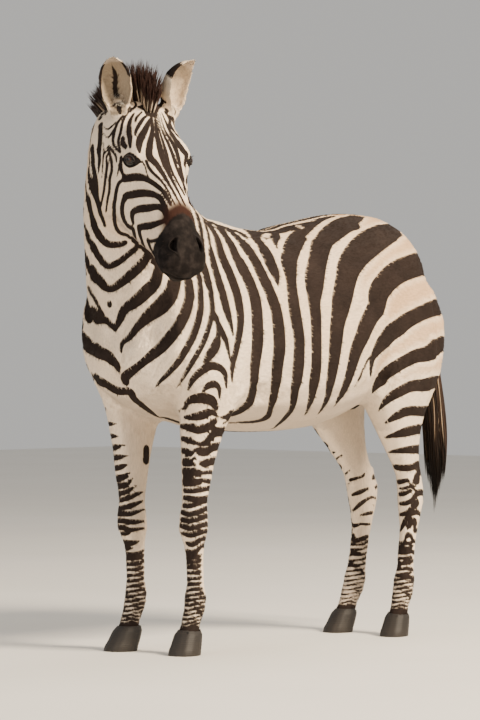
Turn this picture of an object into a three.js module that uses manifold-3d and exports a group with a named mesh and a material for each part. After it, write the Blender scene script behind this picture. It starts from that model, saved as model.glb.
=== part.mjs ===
// A life-size plains zebra stallion, standing on all four feet with its neck raised and its head turned to its left.
// Millimetres, +Z up. The animal faces -Y and its left side is +X. The origin is on the floor, under the middle of
// its bounding box. Each body part is a loft of oval sections; neighbours are cut apart with a thin gap.
import * as THREE from "three";
import { mergeVertices } from "three/addons/utils/BufferGeometryUtils.js";
import Module from "manifold-3d";

const wasm = await Module();
wasm.setup();

// ---- driving dimensions ----
const WITHERS = 1290; // height of the back over the shoulder blades
const BACK_DIP = 1253; // lowest point of the back
const CROUP = 1312; // highest point of the rump
const BELLY = 641; // lowest point of the barrel
const CHEST_FRONT = -628; // foremost point of the breast
const BUTTOCK = 660; // rearmost point of the haunches
const BARREL_HALF = 272; // half the width of the barrel at its widest
const GAP = 0.3; // between two neighbouring solids
const TOE_OUT = THREE.MathUtils.degToRad(14); // how far each foot points outwards
const HEAD_LENGTH = 568; // poll to upper lip
const HEAD_YAW = THREE.MathUtils.degToRad(71); // the face's turn to the animal's left
const HEAD_PITCH = THREE.MathUtils.degToRad(57); // the nose's slope below the horizontal
const POLL = new THREE.Vector3(140, -645, 1622); // top of the skull, between the ears
const EYE_RADIUS = 21;
const EAR_LENGTH = 182;
const EAR_THICKNESS = 7;
const TRUNK_SIDES = 24;
const NECK_SIDES = 20;
const HEAD_SIDES = 22;
const LEG_SIDES = 12;

// ---- sections and lofts ----

// One field of a table of stations, as a smooth curve without overshoot; each station says where it is in `at`.
function along(stations, field, at) {
  const x = stations.map((s) => s.at);
  const y = stations.map((s) => s[field] ?? 0);
  const last = x.length - 1;
  const i = Math.min(Math.max(x.findIndex((v) => v > at) - 1, 0), last - 1);
  const k = at >= x[last] ? last - 1 : i;
  const slope = (j) => (y[j + 1] - y[j]) / (x[j + 1] - x[j]);
  const tangent = (j) => {
    if (j === 0) return slope(0);
    if (j === last) return slope(last - 1);
    const [a, b] = [slope(j - 1), slope(j)];
    return a * b <= 0 ? 0 : (2 * a * b) / (a + b);
  };
  const h = x[k + 1] - x[k];
  const t = (at - x[k]) / h;
  const rise = y[k + 1] - y[k];
  return (
    y[k] + rise * t * t * (3 - 2 * t) +
    h * tangent(k) * t * (1 - t) * (1 - t) -
    h * tangent(k + 1) * t * t * (1 - t)
  );
}

const bend = (value, power) => Math.sign(value) * Math.abs(value) ** power;

// A point of an oval section: half is its half-width, up and down its reach each way, square its squareness,
// and lean narrows its upper half and widens its lower half.
const SQUARE = 2.15; // where a station doesn't say
function ovalPoint({ half, up, down, square, lean = 0 }, angle, grow) {
  const c = bend(Math.cos(angle), 2 / square);
  const s = bend(Math.sin(angle), 2 / square);
  return [(half + grow) * c * (1 - lean * s), (s > 0 ? up + grow : down + grow) * s];
}

// Joins rings of points, first to last, into one closed surface with a cap at each end.
function surfaceOf(rings) {
  const sides = rings[0].length;
  const middle = (ring) => ring.reduce((sum, p) => sum.add(p), new THREE.Vector3()).divideScalar(sides);
  const points = [...rings.flat(), middle(rings[0]), middle(rings.at(-1))];
  const [firstCap, lastCap] = [points.length - 2, points.length - 1];
  const lastRing = (rings.length - 1) * sides;
  const faces = [];
  for (let r = 0; r < rings.length; r++) {
    for (let i = 0; i < sides; i++) {
      const j = (i + 1) % sides;
      if (r === 0) faces.push(firstCap, j, i);
      if (r === rings.length - 1) faces.push(lastCap, lastRing + i, lastRing + j);
      else {
        const [a, b] = [r * sides, (r + 1) * sides];
        faces.push(a + i, a + j, b + j, a + i, b + j, b + i);
      }
    }
  }
  const geometry = new THREE.BufferGeometry().setFromPoints(points);
  geometry.setIndex(faces);
  return geometry;
}

// A three.js geometry as a solid for joins and cuts, turned the right way out.
function solidOf(geometry) {
  const bare = geometry.clone();
  bare.deleteAttribute("normal");
  bare.deleteAttribute("uv");
  const merged = mergeVertices(bare, 1e-3);
  const make = (index) =>
    new wasm.Manifold(
      new wasm.Mesh({ numProp: 3, vertProperties: merged.attributes.position.array, triVerts: new Uint32Array(index) }),
    );
  const made = make(merged.index.array);
  return made.volume() > 0 ? made : make(Array.from(merged.index.array).reverse());
}

function geometryOf(solid) {
  const { vertProperties, triVerts, numProp, numVert } = solid.getMesh();
  const positions = new Float32Array(numVert * 3);
  for (let i = 0; i < numVert; i++) positions.set(vertProperties.subarray(i * numProp, i * numProp + 3), i * 3);
  const geometry = new THREE.BufferGeometry().setAttribute("position", new THREE.BufferAttribute(positions, 3));
  geometry.setIndex(new THREE.BufferAttribute(triVerts, 1));
  geometry.computeVertexNormals();
  return geometry;
}

const biggest = (solid) => solid.decompose().sort((a, b) => b.volume() - a.volume())[0];

// A loft through a table of stations: place(at) gives each ring's origin, side and up vectors.
function ovalLoft(stations, rings, sides, place, grow = 0) {
  const [from, to] = [stations[0].at, stations.at(-1).at];
  const made = [];
  for (let r = 0; r < rings; r++) {
    const at = from + ((to - from) * r) / (rings - 1);
    const oval = {};
    for (const field of ["half", "up", "down", "lean"]) oval[field] = along(stations, field, at);
    oval.square = along(stations, "square", at) || SQUARE;
    const { origin, side, up, reach } = place(at);
    if (reach) oval.up = oval.down = reach;
    const ring = [];
    for (let i = 0; i < sides; i++) {
      const [u, v] = ovalPoint(oval, (2 * Math.PI * i) / sides, grow);
      ring.push(origin.clone().addScaledVector(side, u).addScaledVector(up, v));
    }
    made.push(ring);
  }
  return solidOf(surfaceOf(made));
}

// ---- trunk: upright sections from breast to buttocks; `middle` is each section's centre height ----
const TRUNK = [
  { at: CHEST_FRONT, middle: 915, half: 70, up: 70, down: 70 },
  { at: -610, middle: 925, half: 150, up: 140, down: 125 },
  { at: -575, middle: 940, half: 196, up: 212, down: 190 },
  { at: -500, middle: 955, half: 222, up: 275, down: 245, lean: 0.05 },
  { at: -400, middle: 960, half: 230, up: 318, down: 275, lean: 0.12 },
  { at: -280, middle: 955, half: 234, up: WITHERS - 955, down: 298, lean: 0.16 },
  { at: -140, middle: 945, half: 254, up: 1262 - 945, down: 301, lean: 0.1 },
  { at: 0, middle: 940, half: BARREL_HALF, up: BACK_DIP - 940, down: 940 - BELLY, lean: 0.07 },
  { at: 140, middle: 950, half: 274, up: 1282 - 950, down: 303, lean: 0.05 },
  { at: 270, middle: 975, half: 262, up: 1304 - 975, down: 302, lean: 0.02 },
  { at: 380, middle: 1005, half: 244, up: CROUP - 1005, down: 292 },
  { at: 500, middle: 1040, half: 216, up: 1304 - 1040, down: 285 },
  { at: 582, middle: 1055, half: 180, up: 1270 - 1055, down: 265 },
  { at: 636, middle: 1050, half: 128, up: 175, down: 215 },
  { at: BUTTOCK, middle: 1045, half: 55, up: 90, down: 120 },
];
const X = new THREE.Vector3(1, 0, 0);
const Y = new THREE.Vector3(0, 1, 0);
const Z = new THREE.Vector3(0, 0, 1);
const trunkPlace = (at) => ({ origin: new THREE.Vector3(0, at, along(TRUNK, "middle", at)), side: X, up: Z });
const trunkLoft = (grow) => ovalLoft(TRUNK, 24, TRUNK_SIDES, trunkPlace, grow);

// ---- neck: each section runs from a point of the throat line to one of the crest, and turns left as it rises ----
const NECK = [
  { at: 0, throat: [0, -590, 850], crest: [0, -235, 1262], half: 194, lean: 0.16 },
  { at: 1, throat: [2, -634, 950], crest: [-4, -310, 1308], half: 180, lean: 0.2 },
  { at: 2, throat: [14, -656, 1060], crest: [-18, -400, 1372], half: 150, lean: 0.2 },
  { at: 3, throat: [34, -674, 1165], crest: [-38, -480, 1438], half: 122, lean: 0.18 },
  { at: 4, throat: [66, -700, 1265], crest: [-60, -550, 1500], half: 95, lean: 0.14 },
  { at: 5, throat: [112, -708, 1362], crest: [-52, -610, 1554], half: 80, lean: 0.08 },
  { at: 6, throat: [150, -696, 1436], crest: [0, -642, 1598], half: 70, lean: 0.04 },
  { at: 7, throat: [176, -688, 1490], crest: [72, -650, 1604], half: 52 },
];
const neckPoint = (line, at) => {
  const axes = [0, 1, 2].map((i) => NECK.map((s) => ({ at: s.at, value: s[line][i] })));
  return new THREE.Vector3(...axes.map((stations) => along(stations, "value", at)));
};
function neckPlace(at) {
  const [throat, crest] = [neckPoint("throat", at), neckPoint("crest", at)];
  const up = crest.clone().sub(throat);
  const reach = up.length() / 2;
  up.normalize();
  const side = new THREE.Vector3().crossVectors(up, Z).normalize();
  return { origin: throat.add(crest).divideScalar(2), side, up, reach };
}
const neckLoft = (grow) => ovalLoft(NECK, 13, NECK_SIDES, neckPlace, grow);

// ---- head: in its own frame, `axis` runs from the poll to the lips, `rise` stands out of the forehead ----
const HEADING = new THREE.Vector3(Math.sin(HEAD_YAW), -Math.cos(HEAD_YAW), 0);
const HEAD = {
  axis: HEADING.clone().multiplyScalar(Math.cos(HEAD_PITCH)).addScaledVector(Z, -Math.sin(HEAD_PITCH)),
  rise: HEADING.clone().multiplyScalar(Math.sin(HEAD_PITCH)).addScaledVector(Z, Math.cos(HEAD_PITCH)),
  left: new THREE.Vector3().crossVectors(Z, HEADING),
};
const headPoint = (s, l, n) =>
  POLL.clone().addScaledVector(HEAD.axis, s).addScaledVector(HEAD.left, l).addScaledVector(HEAD.rise, n);

// Half-outlines: the top edge, the brow, the widest place, the jaw's corner and the bottom edge.
const HEAD_STATIONS = [
  { at: -22, top: -40, browW: 28, browN: -50, wideW: 40, wideN: -80, jawW: 30, jawN: -110, bottom: -120 },
  { at: 0, top: -12, browW: 44, browN: -26, wideW: 70, wideN: -85, jawW: 56, jawN: -144, bottom: -162 },
  { at: 45, top: 2, browW: 54, browN: -14, wideW: 86, wideN: -78, jawW: 74, jawN: -178, bottom: -206 },
  { at: 100, top: 12, browW: 62, browN: -4, wideW: 94, wideN: -64, jawW: 84, jawN: -204, bottom: -240 },
  { at: 150, top: 18, browW: 66, browN: 3, wideW: 103, wideN: -48, jawW: 90, jawN: -214, bottom: -258 },
  { at: 195, top: 18, browW: 64, browN: 4, wideW: 103, wideN: -44, jawW: 92, jawN: -218, bottom: -268 },
  { at: 250, top: 12, browW: 50, browN: 0, wideW: 92, wideN: -70, jawW: 90, jawN: -214, bottom: -266 },
  { at: 320, top: 5, browW: 38, browN: -5, wideW: 78, wideN: -80, jawW: 78, jawN: -194, bottom: -246 },
  { at: 390, top: 1, browW: 34, browN: -10, wideW: 66, wideN: -72, jawW: 65, jawN: -164, bottom: -210 },
  { at: 440, top: -4, browW: 36, browN: -13, wideW: 67, wideN: -64, jawW: 56, jawN: -138, bottom: -174 },
  { at: 490, top: -16, browW: 42, browN: -23, wideW: 76, wideN: -64, jawW: 58, jawN: -121, bottom: -152 },
  { at: 528, top: -31, browW: 44, browN: -38, wideW: 76, wideN: -70, jawW: 56, jawN: -114, bottom: -142 },
  { at: 553, top: -48, browW: 34, browN: -55, wideW: 62, wideN: -78, jawW: 44, jawN: -108, bottom: -128 },
  { at: HEAD_LENGTH, top: -66, browW: 16, browN: -69, wideW: 26, wideN: -82, jawW: 20, jawN: -98, bottom: -104 },
];

function headLoft(grow = 0) {
  const rings = [];
  const count = 24;
  const [from, to] = [HEAD_STATIONS[0].at, HEAD_STATIONS.at(-1).at];
  for (let r = 0; r < count; r++) {
    const s = from + ((to - from) * r) / (count - 1);
    const value = (field) => along(HEAD_STATIONS, field, s);
    const half = ["brow", "wide", "jaw"].map((part) => [value(part + "W") + grow, value(part + "N")]);
    const outline = [
      [0, value("top") + grow], ...half, [0, value("bottom") - grow],
      ...half.reverse().map(([w, n]) => [-w, n]),
    ];
    const curve = new THREE.CatmullRomCurve3(outline.map(([w, n]) => new THREE.Vector3(w, n, 0)), true);
    const ring = [];
    for (let i = 0; i < HEAD_SIDES; i++) {
      const p = curve.getPoint(i / HEAD_SIDES);
      ring.push(headPoint(s, p.x, p.y));
    }
    rings.push(ring);
  }
  return solidOf(surfaceOf(rings));
}

// ---- eyes ----
const EYE = { s: 196, l: 85, n: -36 };
function ball(radius, centre) {
  return solidOf(new THREE.SphereGeometry(radius, 12, 8).translate(centre.x, centre.y, centre.z));
}
const eyeCentre = (sign) => headPoint(EYE.s, sign * EYE.l, EYE.n);

// ---- ears: cupped leaves whose section is part of a ring, open towards `facing` ----
const EAR = [
  { at: 0, radius: 26, open: 150, shift: 0 },
  { at: 0.15, radius: 34, open: 136, shift: -2 },
  { at: 0.36, radius: 46, open: 110, shift: -8 },
  { at: 0.6, radius: 48, open: 94, shift: -11 },
  { at: 0.8, radius: 38, open: 84, shift: -7 },
  { at: 0.93, radius: 23, open: 78, shift: 0 },
  { at: 1, radius: 9, open: 70, shift: 7 },
];
function earLoft(root, tipward, facing) {
  const up = tipward.clone().normalize();
  const across = new THREE.Vector3().crossVectors(up, facing).normalize();
  const open = new THREE.Vector3().crossVectors(across, up);
  const rings = [];
  const count = 12;
  const arc = 8;
  for (let r = 0; r < count; r++) {
    const t = r / (count - 1);
    const [radius, angle, shift] = ["radius", "open", "shift"].map((f) => along(EAR, f, t));
    const spread = THREE.MathUtils.degToRad(angle);
    const wall = Math.min(EAR_THICKNESS, radius * 0.7) * (1 - 0.35 * t);
    const origin = root.clone().addScaledVector(up, t * EAR_LENGTH).addScaledVector(open, shift);
    const ring = [];
    const put = (distance, a) => {
      const point = origin.clone().addScaledVector(open, -distance * Math.cos(a));
      ring.push(point.addScaledVector(across, distance * Math.sin(a)));
    };
    for (let i = 0; i < arc; i++) put(radius, -spread + (2 * spread * i) / (arc - 1));
    for (let i = arc - 1; i >= 0; i--) put(radius - wall, -spread + (2 * spread * i) / (arc - 1));
    rings.push(ring);
  }
  return solidOf(surfaceOf(rings));
}

// ---- mane: an upright brush from the forehead, between the ears, down the crest of the neck to the withers ----
const MANE = [
  { at: 0, height: 70, width: 36 },
  { at: 0.05, height: 104, width: 50 },
  { at: 0.12, height: 122, width: 56 },
  { at: 0.3, height: 102, width: 52 },
  { at: 0.55, height: 88, width: 46 },
  { at: 0.8, height: 58, width: 40 },
  { at: 1, height: 14, width: 28 },
];
const MANE_ROOT = 26; // how deep the brush starts below the crest

// ---- legs: level sections from the body down; front and back are the reach each way from (x, y) ----
const FORELEG = [
  { at: -1150, x: 92, y: -350, half: 36, up: 64, down: 56, square: 2 },
  { at: -1100, x: 122, y: -366, half: 58, up: 112, down: 92, square: 2 },
  { at: -1040, x: 146, y: -385, half: 74, up: 150, down: 120, square: 2.1 },
  { at: -930, x: 158, y: -405, half: 84, up: 172, down: 140, square: 2.2 },
  { at: -830, x: 158, y: -400, half: 84, up: 150, down: 138, square: 2.2 },
  { at: -740, x: 150, y: -395, half: 70, up: 108, down: 116, square: 2.2 },
  { at: -670, x: 141, y: -405, half: 60, up: 84, down: 84, square: 2.2 },
  { at: -590, x: 134, y: -414, half: 50, up: 64, down: 60, square: 2.2 },
  { at: -500, x: 128, y: -420, half: 41, up: 50, down: 45, square: 2.3 },
  { at: -440, x: 125, y: -424, half: 37, up: 42, down: 39, square: 2.4 },
  { at: -395, x: 123, y: -426, half: 42, up: 45, down: 42, square: 2.6 },
  { at: -360, x: 122, y: -426, half: 42, up: 44, down: 44, square: 2.6 },
  { at: -325, x: 121, y: -423, half: 31, up: 31, down: 38, square: 2.4 },
  { at: -270, x: 120, y: -420, half: 25, up: 26, down: 35, square: 2.3 },
  { at: -205, x: 120, y: -417, half: 25, up: 26, down: 35, square: 2.2 },
  { at: -162, x: 120, y: -416, half: 33, up: 31, down: 40, square: 2.2 },
  { at: -135, x: 120, y: -420, half: 33, up: 31, down: 39, square: 2.2 },
  { at: -104, x: 120, y: -430, half: 27, up: 28, down: 30, square: 2.2 },
  { at: -76, x: 120, y: -440, half: 31, up: 36, down: 32, square: 2.2 },
  { at: -50, x: 120, y: -446, half: 33, up: 40, down: 33, square: 2.2 },
];
const HINDLEG = [
  { at: -1190, x: 90, y: 425, half: 40, up: 90, down: 70, square: 2 },
  { at: -1140, x: 118, y: 434, half: 72, up: 155, down: 138, square: 2 },
  { at: -1080, x: 136, y: 440, half: 94, up: 200, down: 192, square: 2.1 },
  { at: -960, x: 146, y: 450, half: 102, up: 212, down: 222, square: 2.2 },
  { at: -860, x: 148, y: 455, half: 99, up: 190, down: 208, square: 2.25 },
  { at: -770, x: 146, y: 462, half: 84, up: 156, down: 176, square: 2.3 },
  { at: -690, x: 140, y: 478, half: 66, up: 116, down: 128, square: 2.25 },
  { at: -610, x: 132, y: 508, half: 52, up: 82, down: 86, square: 2.2 },
  { at: -540, x: 126, y: 540, half: 40, up: 58, down: 62, square: 2.2 },
  { at: -490, x: 122, y: 560, half: 34, up: 46, down: 66, square: 2.3 },
  { at: -448, x: 119, y: 572, half: 37, up: 48, down: 62, square: 2.5 },
  { at: -405, x: 117, y: 576, half: 38, up: 46, down: 50, square: 2.5 },
  { at: -360, x: 115, y: 574, half: 31, up: 36, down: 40, square: 2.4 },
  { at: -300, x: 114, y: 566, half: 26, up: 30, down: 36, square: 2.2 },
  { at: -215, x: 113, y: 556, half: 26, up: 29, down: 36, square: 2.2 },
  { at: -165, x: 112, y: 550, half: 33, up: 33, down: 41, square: 2.2 },
  { at: -135, x: 112, y: 546, half: 33, up: 33, down: 40, square: 2.2 },
  { at: -104, x: 112, y: 536, half: 27, up: 29, down: 31, square: 2.2 },
  { at: -76, x: 112, y: 526, half: 31, up: 36, down: 33, square: 2.2 },
  { at: -50, x: 112, y: 520, half: 32, up: 39, down: 33, square: 2.2 },
];
// Each hoof's stations, from the floor up; its toe slopes forward.
const HOOF_FLAT = 2; // the sole's edge is cut square this high
const hoofStations = (half, length) => [
  { at: 0, y: -20, half, up: length * 0.56, down: length * 0.44, square: 2.5 },
  { at: HOOF_FLAT, y: -20, half: half + 0.5, up: length * 0.565, down: length * 0.44, square: 2.5 },
  { at: 34, y: -8, half: half * 0.94, up: length * 0.51, down: length * 0.43, square: 2.4 },
  { at: 62, y: 2, half: half * 0.86, up: length * 0.45, down: length * 0.42, square: 2.3 },
  { at: 74, y: 6, half: half * 0.7, up: length * 0.36, down: length * 0.36, square: 2.2 },
];

// How each leg stands: sign is its side, cut is where it leaves the trunk, hoof is the sole's half-width and
// length, and shift moves its joints sideways and back from the table above, by height.
const stepForward = (z) => [0, -6 * (1 - z / 720)];
const stepBack = (z) => [0, 45 * Math.sin((Math.PI * Math.min(z, 860)) / 860)];
const LEGS = {
  front_left: { stations: FORELEG, sign: 1, cut: 720, hoof: [44, 98], shift: () => [0, 0] },
  front_right: { stations: FORELEG, sign: -1, cut: 720, hoof: [44, 98], shift: stepForward },
  hind_left: { stations: HINDLEG, sign: 1, cut: 700, hoof: [41, 92], shift: () => [0, 0] },
  hind_right: { stations: HINDLEG, sign: -1, cut: 700, hoof: [41, 92], shift: stepBack },
};

// A ring's frame at a height: its heading turns outwards below the elbow or stifle.
function legPlace({ stations, sign, shift }, height) {
  const turn = TOE_OUT * sign * THREE.MathUtils.smoothstep(850 - height, 0, 420);
  const [dx, dy] = shift(height);
  const x = sign * along(stations, "x", -height) + dx;
  const y = along(stations, "y", -height) + dy;
  const origin = new THREE.Vector3(x, y, height);
  const up = new THREE.Vector3(Math.sin(turn), -Math.cos(turn), 0);
  return { origin, side: new THREE.Vector3().crossVectors(Z, up).negate(), up };
}
const legLoft = (leg, grow) => ovalLoft(leg.stations, 29, LEG_SIDES, (at) => legPlace(leg, -at), grow);

function hoofLoft(leg) {
  const stations = hoofStations(...leg.hoof);
  const last = leg.stations.at(-1);
  const place = (at) => {
    const { origin, side, up } = legPlace(leg, -last.at);
    return { origin: origin.setZ(0).addScaledVector(up, -along(stations, "y", at)).setZ(at), side, up };
  };
  return ovalLoft(stations, 6, LEG_SIDES, place);
}

// ---- tail ----
const TAIL = [
  { at: 0, x: 0, y: 600, z: 1205, half: 34, up: 34, down: 34 },
  { at: 1, x: 4, y: 658, z: 1165, half: 36, up: 34, down: 34 },
  { at: 2, x: 16, y: 700, z: 1085, half: 31, up: 30, down: 30 },
  { at: 3, x: 36, y: 724, z: 980, half: 26, up: 25, down: 25 },
  { at: 4, x: 54, y: 738, z: 880, half: 21, up: 20, down: 20 },
];
const TUFT = [
  { at: 0, x: 50, y: 737, z: 915, half: 27, up: 26, down: 26 },
  { at: 1, x: 60, y: 742, z: 820, half: 39, up: 33, down: 33 },
  { at: 2, x: 72, y: 748, z: 680, half: 46, up: 38, down: 38 },
  { at: 3, x: 78, y: 750, z: 540, half: 42, up: 34, down: 34 },
  { at: 4, x: 78, y: 748, z: 430, half: 27, up: 22, down: 22 },
  { at: 5, x: 76, y: 745, z: 350, half: 8, up: 8, down: 8 },
];
function hangingLoft(stations, rings, sides, grow) {
  const place = (at) => {
    const point = (a) => new THREE.Vector3(...["x", "y", "z"].map((f) => along(stations, f, a)));
    const [before, after] = [Math.max(at - 0.05, 0), Math.min(at + 0.05, stations.length - 1)];
    const down = point(after).sub(point(before)).normalize();
    const side = new THREE.Vector3().crossVectors(down, Y).normalize();
    return { origin: point(at), side, up: new THREE.Vector3().crossVectors(side, down) };
  };
  return ovalLoft(stations, rings, sides, place, grow);
}

// ---- mane, continued: its path is the top of the head and then the neck's crest ----
function maneLoft() {
  const path = [
    { foot: headPoint(52, 0, 6), up: Z.clone().addScaledVector(HEADING, 0.42) },
    { foot: headPoint(26, 0, 2), up: Z.clone().addScaledVector(HEADING, 0.25) },
    { foot: headPoint(0, 0, -8), up: Z.clone().addScaledVector(HEADING, 0.05) },
  ];
  for (let at = 6.3; at > 1; at -= 0.53) path.push({ foot: neckPoint("crest", at), up: neckPlace(at).up });
  path.push({ foot: new THREE.Vector3(0, -288, WITHERS - 4), up: Z });
  const feet = new THREE.CatmullRomCurve3(path.map((p) => p.foot));
  const ups = new THREE.CatmullRomCurve3(path.map((p) => p.up.clone().normalize()));
  const rings = [];
  const count = 16;
  const sides = 10;
  for (let r = 0; r < count; r++) {
    const t = r / (count - 1);
    const run = feet.getTangent(t);
    const up = ups.getPoint(t);
    up.addScaledVector(run, -up.dot(run)).normalize();
    const side = new THREE.Vector3().crossVectors(run, up);
    const [height, width] = ["height", "width"].map((f) => along(MANE, f, t));
    const reach = (height + MANE_ROOT) / 2;
    const oval = { half: width / 2, up: reach, down: reach, square: 2.5, lean: 0.2 };
    const origin = feet.getPoint(t).addScaledVector(up, (height - MANE_ROOT) / 2);
    const ring = [];
    for (let i = 0; i < sides; i++) {
      const [u, v] = ovalPoint(oval, (2 * Math.PI * (i + 0.5)) / sides, 0);
      ring.push(origin.clone().addScaledVector(side, u).addScaledVector(up, v));
    }
    rings.push(ring);
  }
  return solidOf(surfaceOf(rings));
}

// ---- joins and cuts ----
const cutAll = (solid, others) => biggest(others.reduce((rest, other) => rest.subtract(other), solid));

// The part of a solid on one side of a level plane.
function beyond(solid, height, above) {
  const size = 4000;
  const slab = new THREE.BoxGeometry(size, size, size).translate(0, 0, height + (above ? size / 2 : -size / 2));
  return solid.intersect(solidOf(slab));
}

const SHEATH = new THREE.SphereGeometry(1, 12, 8).scale(38, 62, 44).translate(0, 420, 742);
const legNames = Object.keys(LEGS);
const wideLegs = legNames.map((name) => legLoft(LEGS[name], GAP));
const trunk = legNames.reduce(
  (body, name) => body.add(beyond(legLoft(LEGS[name], 0), LEGS[name].cut + GAP, true)),
  trunkLoft(0).add(solidOf(SHEATH)),
);
const wideTrunk = trunkLoft(GAP);
const wideHead = headLoft(GAP);
const earSides = { left: 1, right: -1 };
const earOf = (sign) => {
  const root = headPoint(34, sign * 78, -46);
  const tipward = Z.clone().multiplyScalar(0.9).addScaledVector(HEADING, 0.33).addScaledVector(HEAD.left, sign * 0.3);
  const facing = HEADING.clone().multiplyScalar(0.88).addScaledVector(HEAD.left, sign * 0.47);
  return earLoft(root, tipward, facing);
};

const solids = {
  trunk,
  neck: cutAll(neckLoft(0), [wideTrunk, ...wideLegs, wideHead]),
  head: biggest([1, -1].reduce((h, sign) => h.subtract(ball(EYE_RADIUS + GAP, eyeCentre(sign))), headLoft(0))),
  mane: cutAll(maneLoft(), [wideHead, neckLoft(GAP), wideTrunk]),
  tail_dock: cutAll(hangingLoft(TAIL, 10, 10, 0), [wideTrunk, ...wideLegs]),
  tail_hair: cutAll(hangingLoft(TUFT, 11, 10, 0), [hangingLoft(TAIL, 10, 10, GAP), ...wideLegs]),
};
for (const [side, sign] of Object.entries(earSides)) {
  solids[`eye_${side}`] = ball(EYE_RADIUS, eyeCentre(sign));
  solids[`ear_${side}`] = cutAll(earOf(sign), [wideHead, neckLoft(GAP)]);
}
legNames.forEach((name, i) => {
  const lower = beyond(legLoft(LEGS[name], 0), LEGS[name].cut, false);
  solids[`leg_${name}`] = cutAll(lower, [wideTrunk]);
  solids[`hoof_${name}`] = cutAll(hoofLoft(LEGS[name]), [wideLegs[i]]);
});

// ---- materials and the finished group ----
const finish = (color, roughness) => new THREE.MeshStandardMaterial({ color, roughness, metalness: 0 });
const COAT = finish(0xb9aa9c, 0.8);
const FINISHES = {
  eye: finish(0x1c120d, 0.1),
  hoof: finish(0x4a403a, 0.55),
  mane: finish(0x2c1f1a, 0.85),
  tail_hair: finish(0x1d1614, 0.8),
};
const finishOf = (name) => FINISHES[Object.keys(FINISHES).find((start) => name.startsWith(start))] ?? COAT;

const zebra = new THREE.Group();
for (const [name, solid] of Object.entries(solids)) {
  const mesh = new THREE.Mesh(geometryOf(solid), finishOf(name));
  mesh.name = name;
  zebra.add(mesh);
}
const box = new THREE.Box3().setFromObject(zebra);
const centre = box.getCenter(new THREE.Vector3());
zebra.position.set(-centre.x, -centre.y, -box.min.z);

export default zebra;
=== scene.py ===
"""A standing plains zebra stallion, life size: its skin, stripes, short coat, mane, tail, eyes and hooves."""
import functools
import math

import bmesh
import bpy
import numpy as np
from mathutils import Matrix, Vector
from mathutils.bvhtree import BVHTree


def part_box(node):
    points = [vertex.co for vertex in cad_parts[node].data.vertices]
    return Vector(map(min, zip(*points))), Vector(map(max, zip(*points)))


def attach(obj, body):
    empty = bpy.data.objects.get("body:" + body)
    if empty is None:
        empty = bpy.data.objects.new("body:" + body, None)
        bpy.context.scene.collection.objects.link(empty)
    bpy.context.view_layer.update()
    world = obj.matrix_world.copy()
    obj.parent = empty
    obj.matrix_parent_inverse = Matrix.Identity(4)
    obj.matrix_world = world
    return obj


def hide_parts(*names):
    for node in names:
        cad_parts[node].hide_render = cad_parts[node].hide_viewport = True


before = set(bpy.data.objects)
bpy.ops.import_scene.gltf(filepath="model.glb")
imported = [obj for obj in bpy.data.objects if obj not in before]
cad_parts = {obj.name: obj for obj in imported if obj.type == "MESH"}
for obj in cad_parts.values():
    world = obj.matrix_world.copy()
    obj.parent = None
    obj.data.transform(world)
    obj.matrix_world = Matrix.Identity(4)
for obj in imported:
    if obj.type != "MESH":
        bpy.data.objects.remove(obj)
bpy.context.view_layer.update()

MM = 0.001
FLESH = [
    "trunk", "neck", "head", "ear_left", "ear_right", "tail_dock",
    "leg_front_left", "leg_front_right", "leg_hind_left", "leg_hind_right",
]
SIDES = {"left": 1, "right": -1}

# ---- the head's own directions: down the face from the poll, towards the left ear and out of the brow ----
HEAD_TURN = math.radians(71)
HEAD_DROP = math.radians(57)
UP = np.array([0.0, 0.0, 1.0])
HEADING = np.array([math.sin(HEAD_TURN), -math.cos(HEAD_TURN), 0.0])
DOWN_FACE = HEADING * math.cos(HEAD_DROP) - UP * math.sin(HEAD_DROP)
OFF_BROW = HEADING * math.sin(HEAD_DROP) + UP * math.cos(HEAD_DROP)
TO_LEFT = np.cross(UP, HEADING)
HEAD_AXES = np.array([DOWN_FACE, TO_LEFT, OFF_BROW])
EYE_AT = np.array([196.0, 85.0, -36.0])  # millimetres down the face, sideways and off the brow, from the poll
EYE_RADIUS = 21.0
AXIS_DEPTH = -95.0  # the line inside the head that its stripes are measured around
EYE_CENTRES = {side: np.mean([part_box(f"eye_{side}")[k] for k in (0, 1)], axis=0) for side in SIDES}
POLL = (EYE_CENTRES["left"] + EYE_CENTRES["right"]) / 2 - (DOWN_FACE * EYE_AT[0] + OFF_BROW * EYE_AT[2]) * MM
PART_POLL = np.array([0.140, -0.645, 1.622])  # the same point from the trunk's own origin
TRUNK_AT = POLL - PART_POLL  # the trunk's middle plane and the origin of the tables below


def head_point(s, l, n):
    """The place of a point of the head given in millimetres down the face, to the left and off the brow."""
    return POLL + (np.array([s, l, n], float) * MM) @ HEAD_AXES


def head_coords(points):
    return (points - POLL) @ HEAD_AXES.T / MM


def unit(v):
    return v / np.maximum(np.linalg.norm(v, axis=-1, keepdims=True), 1e-12)


def ramp(x, low, high):
    """0 at low, 1 at high, smooth between and level outside; high may be the lower one."""
    t = np.clip((x - low) / (high - low), 0.0, 1.0)
    return t * t * (3 - 2 * t)


def along(at, x, y):
    """A smooth curve without overshoot through a table; y may have several columns."""
    x = np.asarray(x, float)
    y = np.asarray(y, float)
    if y.ndim == 2:
        return np.stack([along(at, x, y[:, k]) for k in range(y.shape[1])], -1)
    slope = np.diff(y) / np.diff(x)
    product = slope[:-1] * slope[1:]
    total = np.where(product > 0, slope[:-1] + slope[1:], 1.0)
    tangent = np.concatenate([slope[:1], np.where(product > 0, 2 * product / total, 0.0), slope[-1:]])
    k = np.clip(np.searchsorted(x, at, side="right") - 1, 0, len(x) - 2)
    h = x[k + 1] - x[k]
    t = np.clip((at - x[k]) / h, 0.0, 1.0)
    rise = y[k + 1] - y[k]
    return y[k] + rise * t * t * (3 - 2 * t) + h * t * (1 - t) * (tangent[k] * (1 - t) - tangent[k + 1] * t)


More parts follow.
